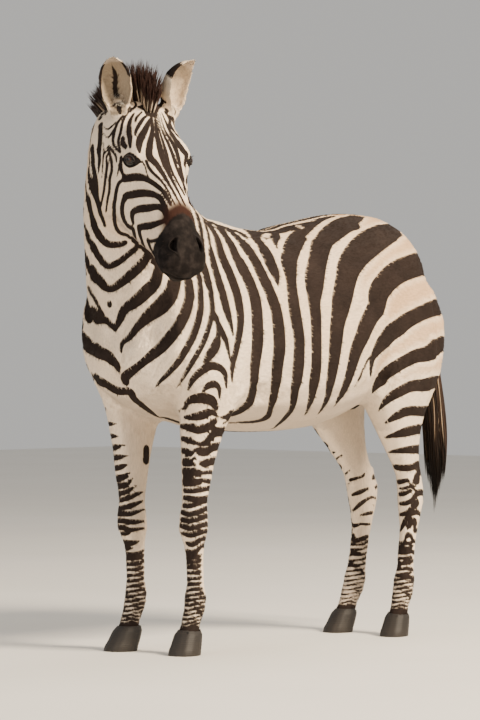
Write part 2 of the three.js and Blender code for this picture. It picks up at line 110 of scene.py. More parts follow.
# ---- mesh arrays ----
def array_of(items, name, kind, each):
    """One property of all the items of a mesh, with each item's numbers in a row."""
    made = np.empty(len(items) * each, kind)
    items.foreach_get(name, made)
    return made.reshape(-1, each)


def points_of(mesh):
    return array_of(mesh.vertices, "co", np.float32, 3).astype(float)


def evaluated_mesh(name, holder):
    """The mesh that an object's modifiers or bevel make; the object itself is removed."""
    bpy.context.view_layer.update()
    made = bpy.data.meshes.new_from_object(holder.evaluated_get(bpy.context.evaluated_depsgraph_get()))
    bpy.data.objects.remove(holder)
    made.name = name
    return made


def put_points(mesh, co):
    mesh.vertices.foreach_set("co", co.astype(np.float32).ravel())
    mesh.update()


def normals_of(mesh):
    return array_of(mesh.vertex_normals, "vector", np.float32, 3).astype(float)


def edges_of(mesh):
    return array_of(mesh.edges, "vertices", np.int32, 2)


def relax(co, edges, rounds, share=None, ease=0.55, regain=-0.57):
    """Smooths points over their edges without shrinking them; share is how much each point takes part."""
    ends = np.concatenate([edges, edges[:, ::-1]])
    count = np.maximum(np.bincount(ends[:, 0], minlength=len(co)), 1)[:, None]
    take = 1.0 if share is None else share[:, None]
    for k in range(rounds * 2):
        sums = [np.bincount(ends[:, 0], co[ends[:, 1], a], minlength=len(co)) for a in range(co.shape[1])]
        co = co + (np.stack(sums, 1) / count - co) * take * (ease if k % 2 == 0 else regain)
    return co


def ease_mesh(mesh, rounds, share):
    """Relaxes a mesh where share(points) holds."""
    put_points(mesh, relax(points_of(mesh), edges_of(mesh), rounds, share(points_of(mesh)).astype(float)))


def spread(values, edges, rounds):
    """Blurs one number per point over the edges."""
    return relax(values[:, None], edges, rounds, ease=0.7, regain=0.7)[:, 0]


def set_value(mesh, name, values):
    layer = mesh.attributes.new(name, "FLOAT", "POINT")
    layer.data.foreach_set("value", values.astype(np.float32))


def new_object(name, mesh):
    piece = bpy.data.objects.new(name, mesh)
    bpy.context.scene.collection.objects.link(piece)
    return piece


def add_piece(mesh, material, replaces=()):
    """A finished piece, named as its mesh is: its material and the solids it stands for."""
    mesh.materials.clear()
    mesh.materials.append(material)
    mesh.polygons.foreach_set("use_smooth", [True] * len(mesh.polygons))
    piece = new_object(mesh.name, mesh)
    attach(piece, "root")
    if replaces:
        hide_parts(*replaces)
    return piece


def mesh_from(bm, name):
    mesh = bpy.data.meshes.new(name)
    bm.to_mesh(mesh)
    bm.free()
    return mesh


# ---- one skin from the flesh ----
# The voxels are even in a stretched space, so thin ears and the close rings of the legs get more of them.
VOXEL = 0.0124
STRETCH_HEIGHTS = [0.0, 0.40, 0.62, 1.46, 1.58, 1.64, 1.80]
STRETCH_TIMES = [2.4, 2.4, 1.0, 1.0, 1.6, 2.4, 2.6]
HEIGHTS = np.linspace(-0.05, 1.85, 1901)
STRETCH = np.interp(HEIGHTS, STRETCH_HEIGHTS, STRETCH_TIMES)
STRETCHED = np.concatenate([[0.0], np.cumsum((STRETCH[1:] + STRETCH[:-1]) / 2 * np.diff(HEIGHTS))])
SIDEWAYS_FROM = 1.0  # above this height the stretch is sideways too
EYE_LIDS = 3.4  # how far the closed lids stand off the eyeball


def stretch(co):
    wide = np.where(co[:, 2] > SIDEWAYS_FROM, np.interp(co[:, 2], HEIGHTS, STRETCH), 1.0)[:, None]
    flat = POLL[:2] + (co[:, :2] - POLL[:2]) * wide
    return np.column_stack([flat, np.interp(co[:, 2], HEIGHTS, STRETCHED)])


def unstretch(co):
    z = np.interp(co[:, 2], STRETCHED, HEIGHTS)
    wide = np.where(z > SIDEWAYS_FROM, np.interp(z, HEIGHTS, STRETCH), 1.0)[:, None]
    return np.column_stack([POLL[:2] + (co[:, :2] - POLL[:2]) / wide, z])


PLAIN_SWELL = 0.8  # millimetres added before the remesh and taken off after it
EAR_SWELL = 2.6
COAT_DEPTH = 2.2  # from the skin to the coat's outer shape, on the body
EAR_COAT = 0.8

# Rounded pads that the plain solids leave out: each has its place and its reach, in the head's millimetres.
EAR_ROOT = np.array([34.0, 78.0, -46.0])
PADS = {
    "ear_bulb": ((27, 78, -38), (30, 27, 32)),
    "ear_foot": ((58, 76, -52), (32, 22, 30)),
    "brow_ridge": ((178, 74, -12), (36, 22, 15)),
    "face_crest": ((262, 78, -82), (64, 10, 12)),
    "nostril_flare": ((514, 48, -50), (30, 17, 22)),
    "jaw_muscle": ((190, 78, -140), (72, 16, 68)),
    "chin": ((524, 0, -136), (26, 27, 18)),
    "upper_lip": ((553, 0, -80), (16, 34, 23)),
    "lower_lip": ((546, 0, -116), (17, 27, 14)),
}


def solid_copy(name):
    """A CAD node's solid, joined along its edges and with its faces turned outwards."""
    bm = bmesh.new()
    bm.from_mesh(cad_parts[name].data)
    bmesh.ops.remove_doubles(bm, verts=bm.verts, dist=1e-5)
    bmesh.ops.recalc_face_normals(bm, faces=bm.faces)
    bm.normal_update()
    return bm


def swollen(name):
    bm = solid_copy(name)
    grow = (EAR_SWELL if name.startswith("ear") else PLAIN_SWELL) * MM
    offsets = [v.normal * grow for v in bm.verts]
    for v, offset in zip(bm.verts, offsets):
        v.co += offset
    bmesh.ops.subdivide_edges(bm, edges=bm.edges, cuts=2, use_grid_fill=True)
    return mesh_from(bm, "swollen")


def ellipsoid(centre, reach):
    """A ball stretched to reach, in millimetres, along the head's three axes."""
    bm = bmesh.new()
    bmesh.ops.create_icosphere(bm, subdivisions=4, radius=1.0)
    mesh = mesh_from(bm, "pad")
    put_points(mesh, centre + (points_of(mesh) * np.array(reach) * MM) @ HEAD_AXES)
    return mesh


def remeshed_flesh():
    made = [swollen(name) for name in FLESH]
    for (s, l, n), reach in PADS.values():
        for sign in (1, -1) if l else (1,):
            made.append(ellipsoid(head_point(s, sign * l, n), reach))
    for centre in EYE_CENTRES.values():
        made.append(ellipsoid(centre, [EYE_RADIUS + EYE_LIDS] * 3))
    bm = bmesh.new()
    for mesh in made:
        put_points(mesh, stretch(points_of(mesh)))
        bm.from_mesh(mesh)
        bpy.data.meshes.remove(mesh)
    flesh = new_object("flesh", mesh_from(bm, "flesh"))
    remesh = flesh.modifiers.new("voxels", "REMESH")
    remesh.mode = "VOXEL"
    remesh.voxel_size = VOXEL
    remesh.adaptivity = 0.0
    whole = evaluated_mesh("skin", flesh)
    put_points(whole, unstretch(points_of(whole)))
    return whole


def nearest_node(co):
    """The index in FLESH of the CAD node that each point lies on."""
    corners, faces, owner = [], [], []
    for k, name in enumerate(FLESH):
        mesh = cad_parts[name].data
        start = len(corners)
        corners += [v.co.copy() for v in mesh.vertices]
        faces += [[start + i for i in p.vertices] for p in mesh.polygons]
        owner += [k] * len(mesh.polygons)
    tree = BVHTree.FromPolygons(corners, faces)
    return np.array([owner[tree.find_nearest(p)[2]] for p in co.tolist()])


def refine(mesh, wanted):
    """Splits every edge of the faces whose centres pass wanted."""
    bm = bmesh.new()
    bm.from_mesh(mesh)
    bm.faces.ensure_lookup_table()
    centres = np.array([f.calc_center_median() for f in bm.faces])
    chosen = np.flatnonzero(wanted(centres))
    edges = list({e for k in chosen for e in bm.faces[k].edges})
    bmesh.ops.subdivide_edges(bm, edges=edges, cuts=1, use_grid_fill=True)
    bm.to_mesh(mesh)
    bm.free()


def in_head(points):
    s, l, n = head_coords(points).T
    return (s > -10) & (s < 590) & (np.abs(l) < 125) & (n > -275) & (n < 60)


def in_face(points):
    s, l, n = head_coords(points).T
    eye = (np.abs(s - EYE_AT[0]) < 58) & (np.abs(l) > 48) & (n > -92)
    muzzle = (s > 462) & (n > -160)
    return in_head(points) & (eye | muzzle)


# Eyes look out sideways and a little forward and down. A lid's edge is set in degrees from the gaze.
GAZE = {side: unit(np.array([0.22, sign * 0.90, 0.34]) @ HEAD_AXES) for side, sign in SIDES.items()}
LID_REACH = 52.0  # from the middle of the eye to each corner
UPPER_LID = 33.0
LOWER_LID = 25.0


def eye_axes(side):
    """Gaze, level (towards the inner corner) and rise of an eye, each a unit vector."""
    gaze = GAZE[side]
    level = HEADING - UP * 0.12
    level = unit(level - gaze * (level @ gaze))
    rise = np.cross(gaze, level)
    return np.array([gaze, level, rise if rise @ UP > 0 else -rise])


def lid_height(turn, lid):
    """How far a lid's edge is off the level line at a turn towards a corner."""
    return lid * (1 - np.clip(np.abs(turn) / LID_REACH, 0, 1) ** 2) ** 0.75


def eye_angles(points, side):
    """Degrees towards the inner corner and up, millimetres from the eye's centre, and how far ahead of it."""
    q = (points - EYE_CENTRES[side]) @ eye_axes(side).T / MM
    radius = np.linalg.norm(q, axis=1)
    away = q / np.maximum(radius, 1e-6)[:, None]
    return np.degrees(np.arcsin(away[:, 1])), np.degrees(np.arcsin(away[:, 2])), radius, away[:, 0]


def lid_inside(turn, lift):
    """Degrees inside the opening between the lids; negative outside it."""
    lids = np.minimum(lid_height(turn, UPPER_LID) - lift, lift + lid_height(turn, LOWER_LID))
    return np.minimum(lids, LID_REACH - np.abs(turn))


def near_eyes(points):
    return np.min([np.linalg.norm(points - c, axis=1) for c in EYE_CENTRES.values()], axis=0) < 0.030


def in_detail(points):
    s, l, n = head_coords(points).T
    nostril = (np.abs(s - 508) < 26) & (np.abs(np.abs(l) - 42) < 24) & (n > -62)
    return near_eyes(points) & in_face(points) | nostril


# ---- shaping by strokes ----
def segment_gap(points, a, b):
    """Each point's distance from the line between two places, and the share of the way along it."""
    run = b - a
    t = np.clip((points - a) @ run / max(run @ run, 1e-12), 0, 1)
    return np.linalg.norm(points - a - t[:, None] * run, axis=1), t


def line_distance(points, path):
    """Each point's distance from a path, and how far along the path its nearest place is, 0 to 1."""
    best = np.full(len(points), 1e9)
    place = np.zeros(len(points))
    lengths = np.concatenate([[0.0], np.cumsum(np.linalg.norm(np.diff(path, axis=0), axis=1))])
    for k, (a, b) in enumerate(zip(path[:-1], path[1:])):
        d, t = segment_gap(points, a, b)
        closer = d < best
        best[closer] = d[closer]
        place[closer] = (lengths[k] + t[closer] * (lengths[k + 1] - lengths[k])) / lengths[-1]
    return best, place


def smooth_path(points, step):
    """A curve through given points, with a point about every step."""
    points = np.asarray(points, float)
    if len(points) == 2:
        count = max(int(np.linalg.norm(points[1] - points[0]) / step), 1)
        return np.linspace(points[0], points[1], count + 1)
    ends = np.vstack([2 * points[0] - points[1], points, 2 * points[-1] - points[-2]])
    made = []
    for a, b, c, d in zip(ends[:-3], ends[1:-2], ends[2:-1], ends[3:]):
        count = max(int(np.linalg.norm((c - b)[:2 if len(b) == 2 else 3]) / step), 1)
        t = (np.arange(count) / count)[:, None]
        bend, twist = 2 * a - 5 * b + 4 * c - d, 3 * b - a - 3 * c + d
        made.append(0.5 * (2 * b + (c - a) * t + bend * t ** 2 + twist * t ** 3))
    made.append(points[-1:])
    return np.vstack(made)


def press(co, normals, path, wide, rise, taper=0.25):
    """Raises the skin along a path, or sinks it where rise is negative; wide and rise are in millimetres."""
    path = smooth_path(path, wide * MM)
    reach = wide * MM * 2.6
    near = np.flatnonzero(np.all((co > path.min(0) - reach) & (co < path.max(0) + reach), axis=1))
    distance, place = line_distance(co[near], path)
    fade = np.minimum(ramp(place, -0.001, taper), ramp(place, 1.001, 1 - taper)) if taper else 1.0
    bump = np.exp(-((distance / (wide * MM)) ** 2)) * fade * rise * MM
    co[near] += normals[near] * bump[:, None]


# Folds and bumps of the head: a path (down the face, sideways, off the brow), its width and how far it rises.
HEAD_FOLDS = [
    (((128, 60, 6), (150, 66, 4)), 19, -2.4),
    (((226, 88, -62), (270, 86, -76), (330, 76, -86)), 8, 2.6),
    (((250, 92, -112), (300, 86, -116), (350, 72, -112)), 15, -4.0),
    (((214, 56, 0), (300, 40, -2), (430, 34, -12)), 8, 2.0),
    (((290, 66, -34), (360, 60, -38), (430, 56, -44)), 15, -4.5),
    (((436, 60, -40), (486, 62, -42)), 13, 3.0),
    (((168, 92, -226), (230, 90, -238), (330, 72, -222)), 10, 2.5),
    (((236, 92, -168), (262, 94, -206)), 12, -2.5),
    (((128, 96, -196), (92, 92, -150), (62, 84, -108)), 13, -4.0),
    (((176, 90, -78), (214, 94, -80), (236, 88, -66)), 5, -2.2),
    (((172, 84, -92), (212, 92, -94), (244, 88, -80)), 4, -1.4),
    (((158, 76, 6), (188, 84, 2), (218, 84, -10)), 6, 2.0),
    (((226, 84, -34), (246, 80, -44), (262, 78, -58)), 4, -1.6),
    (((458, 66, -98), (452, 64, -110), (456, 58, -124)), 5, -2.2),
    (((446, 64, -92), (438, 62, -108), (442, 56, -124)), 4, -1.4),
    (((474, 74, -76), (500, 78, -84), (524, 74, -84)), 4, -1.2),
    (((540, 22, -60), (552, 26, -76)), 4, -0.8),
]
MOUTH = [(468, 70, -103), (496, 72, -100), (524, 66, -97), (546, 48, -94), (559, 25, -92), (566, 0, -91)]
MOUTH_WIDE = 3.6
MOUTH_DEEP = -7.0
LIP_ROLL = 10.0  # from the mouth line to the fullest part of each lip

# The nostrils are commas: ovals with a curled inner end.
NOSTRIL = {"at": (494, 42), "long": 20.0, "short": 8.5, "tilt": math.radians(12), "deep": 19.0, "rim": 3.0}


def on_tree(tree, points):
    """The nearest places on a surface, and its normals there."""
    found = [tree.find_nearest(p) for p in np.asarray(points).tolist()]
    return np.array([f[0] for f in found]), np.array([f[1] for f in found])


def mirrored(path, sign):
    return [(s, l * sign, n) for s, l, n in path]


def shape_head(co, normals, tree):
    for path, wide, rise in HEAD_FOLDS:
        for sign in SIDES.values():
            line = on_tree(tree, [head_point(*p) for p in mirrored(path, sign)])[0]
            press(co, normals, line, wide, rise)
    whole_mouth = mirrored(MOUTH, 1) + mirrored(MOUTH[:-1], -1)[::-1]
    for shift, wide, rise in ((LIP_ROLL, 7, 1.6), (-LIP_ROLL, 6, 1.4), (0, MOUTH_WIDE, MOUTH_DEEP)):
        line = on_tree(tree, [head_point(s, l, n + shift) for s, l, n in whole_mouth])[0]
        press(co, normals, line, wide, rise, taper=0.05)


def open_nostrils(co):
    for sign in SIDES.values():
        s, l, n = head_coords(co).T
        down = s - NOSTRIL["at"][0]
        out = sign * l - NOSTRIL["at"][1]
        near = np.flatnonzero((np.abs(down) < 45) & (np.abs(out) < 40) & (n > -78))
        tilt = NOSTRIL["tilt"]
        length = down[near] * math.cos(tilt) + out[near] * math.sin(tilt)
        width = -down[near] * math.sin(tilt) + out[near] * math.cos(tilt)
        width = width + 0.020 * length ** 2 - 2.0
        size = np.hypot(length / NOSTRIL["long"], width / NOSTRIL["short"])
        hole = ramp(size, 1.12, 0.55) * NOSTRIL["deep"]
        rim = np.exp(-(((size - 1.36) / 0.26) ** 2)) * NOSTRIL["rim"] * ramp(width, -26, 6)
        inward = unit(np.array([-0.35, sign * -0.25, -1.0])) @ HEAD_AXES
        co[near] += (inward * hole[:, None] - inward * rim[:, None]) * MM


LID_EDGE = 1.9  # how far a lid's edge stands off the eyeball
BEHIND = 4.5  # how deep the skin passes behind the eyeball


def open_lids(co):
    for side in SIDES:
        turn, lift, radius, ahead = eye_angles(co, side)
        inside = lid_inside(turn, lift)
        edge = EYE_RADIUS + LID_EDGE
        lids = radius + (edge - radius) * ramp(inside, -17, -1) * ramp(radius, 44, 31)
        wanted = lids + (EYE_RADIUS - BEHIND - lids) * ramp(inside, -0.5, 5)
        moved = np.flatnonzero((radius < 44) & (ahead > 0.15))
        away = unit(co[moved] - EYE_CENTRES[side])
        co[moved] = EYE_CENTRES[side] + away * wanted[moved, None] * MM


# Muscles and hollows of the body, in the trunk's millimetres on the left side; each is made on both sides.
BODY_FOLDS = [
    (((26, -642, 950), (20, -628, 860), (14, -590, 770)), 12, -7),
    (((78, -636, 930), (92, -616, 850), (84, -570, 770)), 34, 8),
    (((150, -590, 1030), (128, -622, 960), (150, -600, 880)), 24, -5),
    (((150, -330, 1230), (212, -440, 1080), (222, -520, 950)), 32, 5),
    (((170, -250, 1200), (232, -280, 1040), (232, -300, 880)), 34, -5),
    (((222, -440, 930), (226, -380, 880), (220, -330, 860)), 24, -4),
    (((196, -330, 790), (190, -305, 750)), 26, 9),
    (((220, -240, 800), (190, -220, 720)), 40, -8),
    (((244, 210, 1150), (252, 240, 1070), (246, 270, 980)), 46, -11),
    (((212, 285, 1200), (222, 315, 1150)), 55, 5),
    (((240, 300, 900), (226, 320, 820), (190, 322, 742)), 20, -8),
    (((232, 350, 880), (220, 350, 800)), 30, 7),
    (((150, 590, 1160), (196, 560, 1040), (196, 566, 900), (170, 560, 800)), 15, -7),
    (((120, 640, 1120), (150, 622, 980), (150, 600, 860)), 30, 5),
    (((226, 400, 960), (224, 470, 900)), 24, -4),
    (((34, 650, 1130), (40, 640, 1000), (40, 620, 860)), 20, -10),
]
RIBS = 8
FIRST_RIB = -150
RIB_STEP = 46
RIB_PATH = ((262, 0, 1060), (262, 14, 940), (262, 20, 830))
RIB = {"wide": 14, "rise": 0.5, "taper": 0.45}
NECK_FOLDS = [  # (place up the neck, degrees round from the throat)
    (((1.0, 34), (3.0, 36), (5.2, 42)), 17, -6),
    (((1.4, 120), (3.0, 118), (5.0, 112)), 22, -4),
    (((5.5, 24), (5.9, 60), (6.2, 100)), 9, -3.5),
    (((5.1, 20), (5.4, 54), (5.7, 90)), 7, -2.2),
    (((2.1, -14), (2.1, 14)), 10, -2.5),
    (((3.2, -20), (3.1, 20)), 8, -2.0),
]

# ---- the neck's own chart: how far up it (0 to 7) and degrees round it from the throat, left positive ----
NECK_THROAT = [
    (0, -590, 850), (2, -634, 950), (14, -656, 1060), (34, -674, 1165),
    (66, -700, 1265), (112, -708, 1362), (150, -696, 1436), (176, -688, 1490),
]
NECK_CREST = [
    (0, -235, 1262), (-4, -310, 1308), (-18, -400, 1372), (-38, -480, 1438),
    (-60, -550, 1500), (-52, -610, 1554), (0, -642, 1598), (72, -650, 1604),
]
NECK_TOP = 7


def neck_frame(place):
    place = np.atleast_1d(np.asarray(place, float))
    throat = along(place, range(NECK_TOP + 1), NECK_THROAT) * MM + TRUNK_AT
    crest = along(place, range(NECK_TOP + 1), NECK_CREST) * MM + TRUNK_AT
    rise = unit(crest - throat)
    side = unit(np.cross(rise, UP))
    return (throat + crest) / 2, side, rise, crest


NECK_PLACES = np.linspace(0, NECK_TOP, 141)
NECK_MIDDLE, NECK_SIDE, NECK_RISE = neck_frame(NECK_PLACES)[:3]
NECK_RUN = np.cross(NECK_SIDE, NECK_RISE)


def neck_chart(points):
    """For each point the nearest neck section's index, and the point's sideways and upward place in it."""
    q = points[:, None, :] - NECK_MIDDLE[None]
    off = np.abs((q * NECK_RUN).sum(2))
    side = (q * NECK_SIDE).sum(2)
    rise = (q * NECK_RISE).sum(2)
    far = np.hypot(side, rise) > 0.30
    index = np.argmin(np.where(far, 9.0, off), axis=1)
    rows = np.arange(len(points))
    return index, side[rows, index], rise[rows, index]


def other_side(points):
    """The same places on the body's other side: through the neck's own middle, or the trunk's."""
    index, side, rise = neck_chart(points)
    made = NECK_MIDDLE[index] - side[:, None] * NECK_SIDE[index] + rise[:, None] * NECK_RISE[index]
    q = points - NECK_MIDDLE[index]
    made += (q * NECK_RUN[index]).sum(1)[:, None] * NECK_RUN[index]
    plain = points * [-1, 1, 1] + [2 * TRUNK_AT[0], 0, 0]
    return np.where((index > 0)[:, None], made, plain)


def cast(tree, origin, direction):
    hit = tree.ray_cast(Vector(origin), Vector(direction))
    return None if hit[0] is None else np.array(hit[0])


def cast_level(tree, origin, turn):
    """Where a level ray meets the surface, turned from straight ahead towards the animal's left."""
    return cast(tree, origin, (math.sin(turn), -math.cos(turn), 0))


def neck_point(tree, place, degrees):
    middle, side, rise = neck_frame(place)[:3]
    turn = math.radians(degrees)
    return cast(tree, middle[0], side[0] * math.sin(turn) - rise[0] * math.cos(turn))


def trunk_point(x, y, z):
    """The place of a point given in the trunk's millimetres: to the left, back and up."""
    return np.array([x, y, z]) * MM + TRUNK_AT


def trunk_coords(points):
    return ((points - TRUNK_AT) / MM).T


# ---- the legs' own axes ----
LEGS = ["front_left", "front_right", "hind_left", "hind_right"]
LEG_HEIGHTS = np.linspace(0.05, 0.69, 33)


def side_of(name):
    """1 for a leg of the left side, -1 for one of the right."""
    return SIDES[name.split("_")[1]]


def leg_axis(name):
    """The leg's middle at each of LEG_HEIGHTS."""
    co = points_of(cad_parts[f"leg_{name}"].data)
    middles = []
    for z in LEG_HEIGHTS:
        ring = co[np.abs(co[:, 2] - z) < 0.024][:, :2]
        middles.append((ring.min(0) + ring.max(0)) / 2)
    return np.array(middles)


LEG_AXES = {name: leg_axis(name) for name in LEGS}


def leg_middle(name, z):
    return np.stack([np.interp(z, LEG_HEIGHTS, LEG_AXES[name][:, k]) for k in (0, 1)], -1)


def leg_point(tree, name, azimuth, z):
    """The skin of a leg at a height in metres, at degrees from straight ahead towards the animal's left."""
    return cast_level(tree, (*leg_middle(name, z), z), math.radians(azimuth))


# Whether it is on the forelegs, its path as degrees round a left leg and millimetres up, its width, its rise.
LEG_FOLDS = [
    (True, ((96, 330), (92, 250), (92, 180)), 7, -2.6), (True, ((-84, 330), (-88, 250), (-88, 180)), 7, -2.6),
    (True, ((14, 392), (14, 352)), 16, 3.0), (True, ((190, 402), (190, 378)), 12, 6.0),
    (True, ((14, 330), (14, 322)), 12, -2.0), (True, ((194, 152), (194, 142)), 11, 5.5),
    (True, ((60, 640), (80, 540), (92, 450)), 16, -3.5), (True, ((20, 600), (16, 480)), 20, 3.0),
    (True, ((110, 396), (104, 364)), 6, -2.0), (True, ((-70, 396), (-76, 364)), 6, -2.0),
    (False, ((130, 640), (122, 560), (112, 500)), 13, -7.0),
    (False, ((-120, 640), (-110, 560), (-100, 500)), 13, -7.0),
    (False, ((190, 520), (190, 492)), 13, 8.0), (False, ((92, 330), (90, 250), (90, 180)), 7, -2.6),
    (False, ((-88, 330), (-90, 250), (-90, 180)), 7, -2.6), (False, ((190, 152), (190, 142)), 11, 5.5),
    (False, ((100, 470), (90, 430), (80, 400)), 7, -2.4), (False, ((-80, 470), (-84, 400)), 9, 3.0),
]


def press_both(co, normals, tree, path, wide, rise, taper=0.25):
    """Presses a path in the trunk's millimetres on its left side, and the same on its right."""
    for sign in SIDES.values():
        line = on_tree(tree, [trunk_point(x * sign, y, z) for x, y, z in path])[0]
        press(co, normals, line, wide, rise, taper)


def shape_body(co, normals, tree):
    for path, wide, rise in BODY_FOLDS:
        press_both(co, normals, tree, path, wide, rise)
    for k in range(RIBS):
        path = [(x, y + FIRST_RIB + RIB_STEP * k, z) for x, y, z in RIB_PATH]
        press_both(co, normals, tree, path, **RIB)
    for path, wide, rise in NECK_FOLDS:
        for sign in SIDES.values():
            line = [neck_point(tree, place, degrees * sign) for place, degrees in path]
            press(co, normals, [p for p in line if p is not None], wide, rise)
    for name in LEGS:
        sign = side_of(name)
        for fore, path, wide, rise in LEG_FOLDS:
            if fore == name.startswith("front"):
                line = [leg_point(tree, name, azimuth * sign, z * MM) for azimuth, z in path]
                press(co, normals, [p for p in line if p is not None], wide, rise)


def tree_of(mesh, wanted=None):
    co = points_of(mesh)
    faces = [tuple(p.vertices) for p in mesh.polygons]
    if wanted is not None:
        centres = np.array([co[list(f[:3])].mean(0) for f in faces])
        faces = [f for f, keep in zip(faces, wanted(centres)) if keep]
    return BVHTree.FromPolygons([Vector(p) for p in co], faces)


def in_fine_stripes(points):
    """The head, neck, breast, shoulders and spine, whose stripes are too fine for the trunk's voxels."""
    x, y, z = trunk_coords(points)
    spine = (np.abs(x) < 44) & (z > 1130) & (y > -300)
    return ((z > 740) & (y < -330) & (z < 1480)) | spine | in_head(points)


# Where the skin's faces are split, where it is eased after that, and how much.
FINER = ((in_fine_stripes, in_head, 5), (in_face, in_face, 4), (in_detail, in_detail, 3))


def make_skin():
    mesh = remeshed_flesh()
    co = relax(points_of(mesh), edges_of(mesh), 12)
    put_points(mesh, co)
    owner = nearest_node(co)
    ear = np.isin(owner, [FLESH.index("ear_left"), FLESH.index("ear_right")]) & (head_coords(co)[:, 2] > -30)
    off = spread(np.where(ear, EAR_SWELL + EAR_COAT, PLAIN_SWELL + COAT_DEPTH), edges_of(mesh), 4)
    put_points(mesh, co - normals_of(mesh) * off[:, None] * MM)
    co = relax(points_of(mesh), edges_of(mesh), 10, ear.astype(float))
    put_points(mesh, co)
    shape_body(co, normals_of(mesh), tree_of(mesh))
    put_points(mesh, co)
    for split, eased, rounds in FINER:
        refine(mesh, split)
        ease_mesh(mesh, rounds, eased)
    co = points_of(mesh)
    shape_head(co, normals_of(mesh), tree_of(mesh))
    open_nostrils(co)
    put_points(mesh, co)
    ease_mesh(mesh, 1, in_face)
    co = points_of(mesh)
    open_lids(co)
    put_points(mesh, co)
    return mesh


# ---- stage ----
def stage():
    bm = bmesh.new()
    bmesh.ops.create_grid(bm, x_segments=1, y_segments=1, size=14)
    floor = new_object("floor", mesh_from(bm, "floor"))
    return floor


# ---- camera ----
AIM = POLL + np.array([-0.183, 0.6063, -0.762])
TO_CAMERA = np.array([0.66911, -0.74312, 0.008727])
CAMERA_DISTANCE = 12.0
FRAME_TALL = 720
FRAME_WIDE = 480
FOCAL = 3960.0  # in the frame's own pixels


def camera():
    data = bpy.data.cameras.new("camera")
    data.lens = data.sensor_width * FOCAL / FRAME_TALL
    cam = bpy.data.objects.new("camera", data)
    cam.location = AIM + TO_CAMERA * CAMERA_DISTANCE
    cam.rotation_euler = Vector(TO_CAMERA).to_track_quat("Z", "Y").to_euler()
    bpy.context.scene.collection.objects.link(cam)
    bpy.context.scene.camera = cam


# ---- stripes: dark strokes over the skin ----
# Each stroke is a path in the camera's frame, x and y by turns in its pixels, and then its half-widths along
# the path, in the same pixels. They are cast from the camera onto the skin.
THROAT_BANDS = [
    ((85.5, 178, 87, 196, 90.5, 210, 95, 228, 106, 243, 121, 244, 131, 239),
     (1.2, 1.8, 1.6, 1.7, 2.4, 2.6, 2.5, 1.8, 1)),
    ((83, 208, 84, 222, 92, 245, 105, 264, 116, 263.5, 130, 253, 139, 246), (1.2, 2, 2.2, 2.3, 2.1, 2)),
    ((81.5, 240, 87, 264, 99, 280, 110, 288.5, 122, 282, 138, 268, 149, 255),
     (2.6, 2.9, 2.6, 2, 2.4, 3.3, 2.5)),
    ((86.5, 284.5, 93.5, 296.5, 100, 308.5, 106.5, 319.5), (0.8, 0.9, 0.6)),
    ((115, 329, 120, 319, 125, 309, 136, 301, 147, 291, 155, 282, 158.5, 270, 158.5, 263),
     (1.3, 2, 2.5, 3.2, 3.5, 3.3, 3, 2.5)),
    ((115, 329, 106.5, 320.5, 97.5, 316.5, 90.5, 311.5, 87.5, 302, 86, 291.5),
     (1.2, 1.8, 3.2, 3.5, 2.4, 1.6)),
    ((109.5, 303.5, 109.5, 304.5), (1.3, 1.3)),
    ((80, 337, 88, 344.5, 97.5, 351.5, 106.5, 355.5, 113.5, 361, 118.5, 371), (5, 3.5, 3.3, 3, 2.4, 0.8)),
    ((80, 363, 88, 371, 96, 379, 106.5, 385, 118.5, 391, 129.5, 392, 134.5, 399, 144, 407, 154.5, 415,
      160, 418), (1.6, 1.8, 2, 2, 2.2, 2, 2, 1.6, 1.2, 0.6)),
    ((96, 403, 103, 408, 107, 410), (1.2, 0.8, 0.4)),
]
NECK_EDGE_BANDS = [
    ((85.5, 178, 86, 188, 87, 196, 89, 204, 90.5, 210), (1.2, 1.8, 1.6)),
    ((92, 148, 92.5, 156, 93, 164, 94.5, 172, 95.5, 180, 96, 188, 96, 196, 98, 204, 100, 212, 103, 220,
      105, 226), (1.6, 1.3, 1.5, 1.8, 2, 1.6, 1.4, 1)),
    ((88.5, 168, 88.5, 174, 90, 180, 92, 188, 95, 196), (1.2, 1.5, 1.9, 1.8, 1.6)),
    ((100.5, 125, 100, 140, 99.5, 150, 99.5, 158, 99, 164, 98.5, 172), (1.6, 1.6, 1.6, 1.2, 1, 0.5)),
]
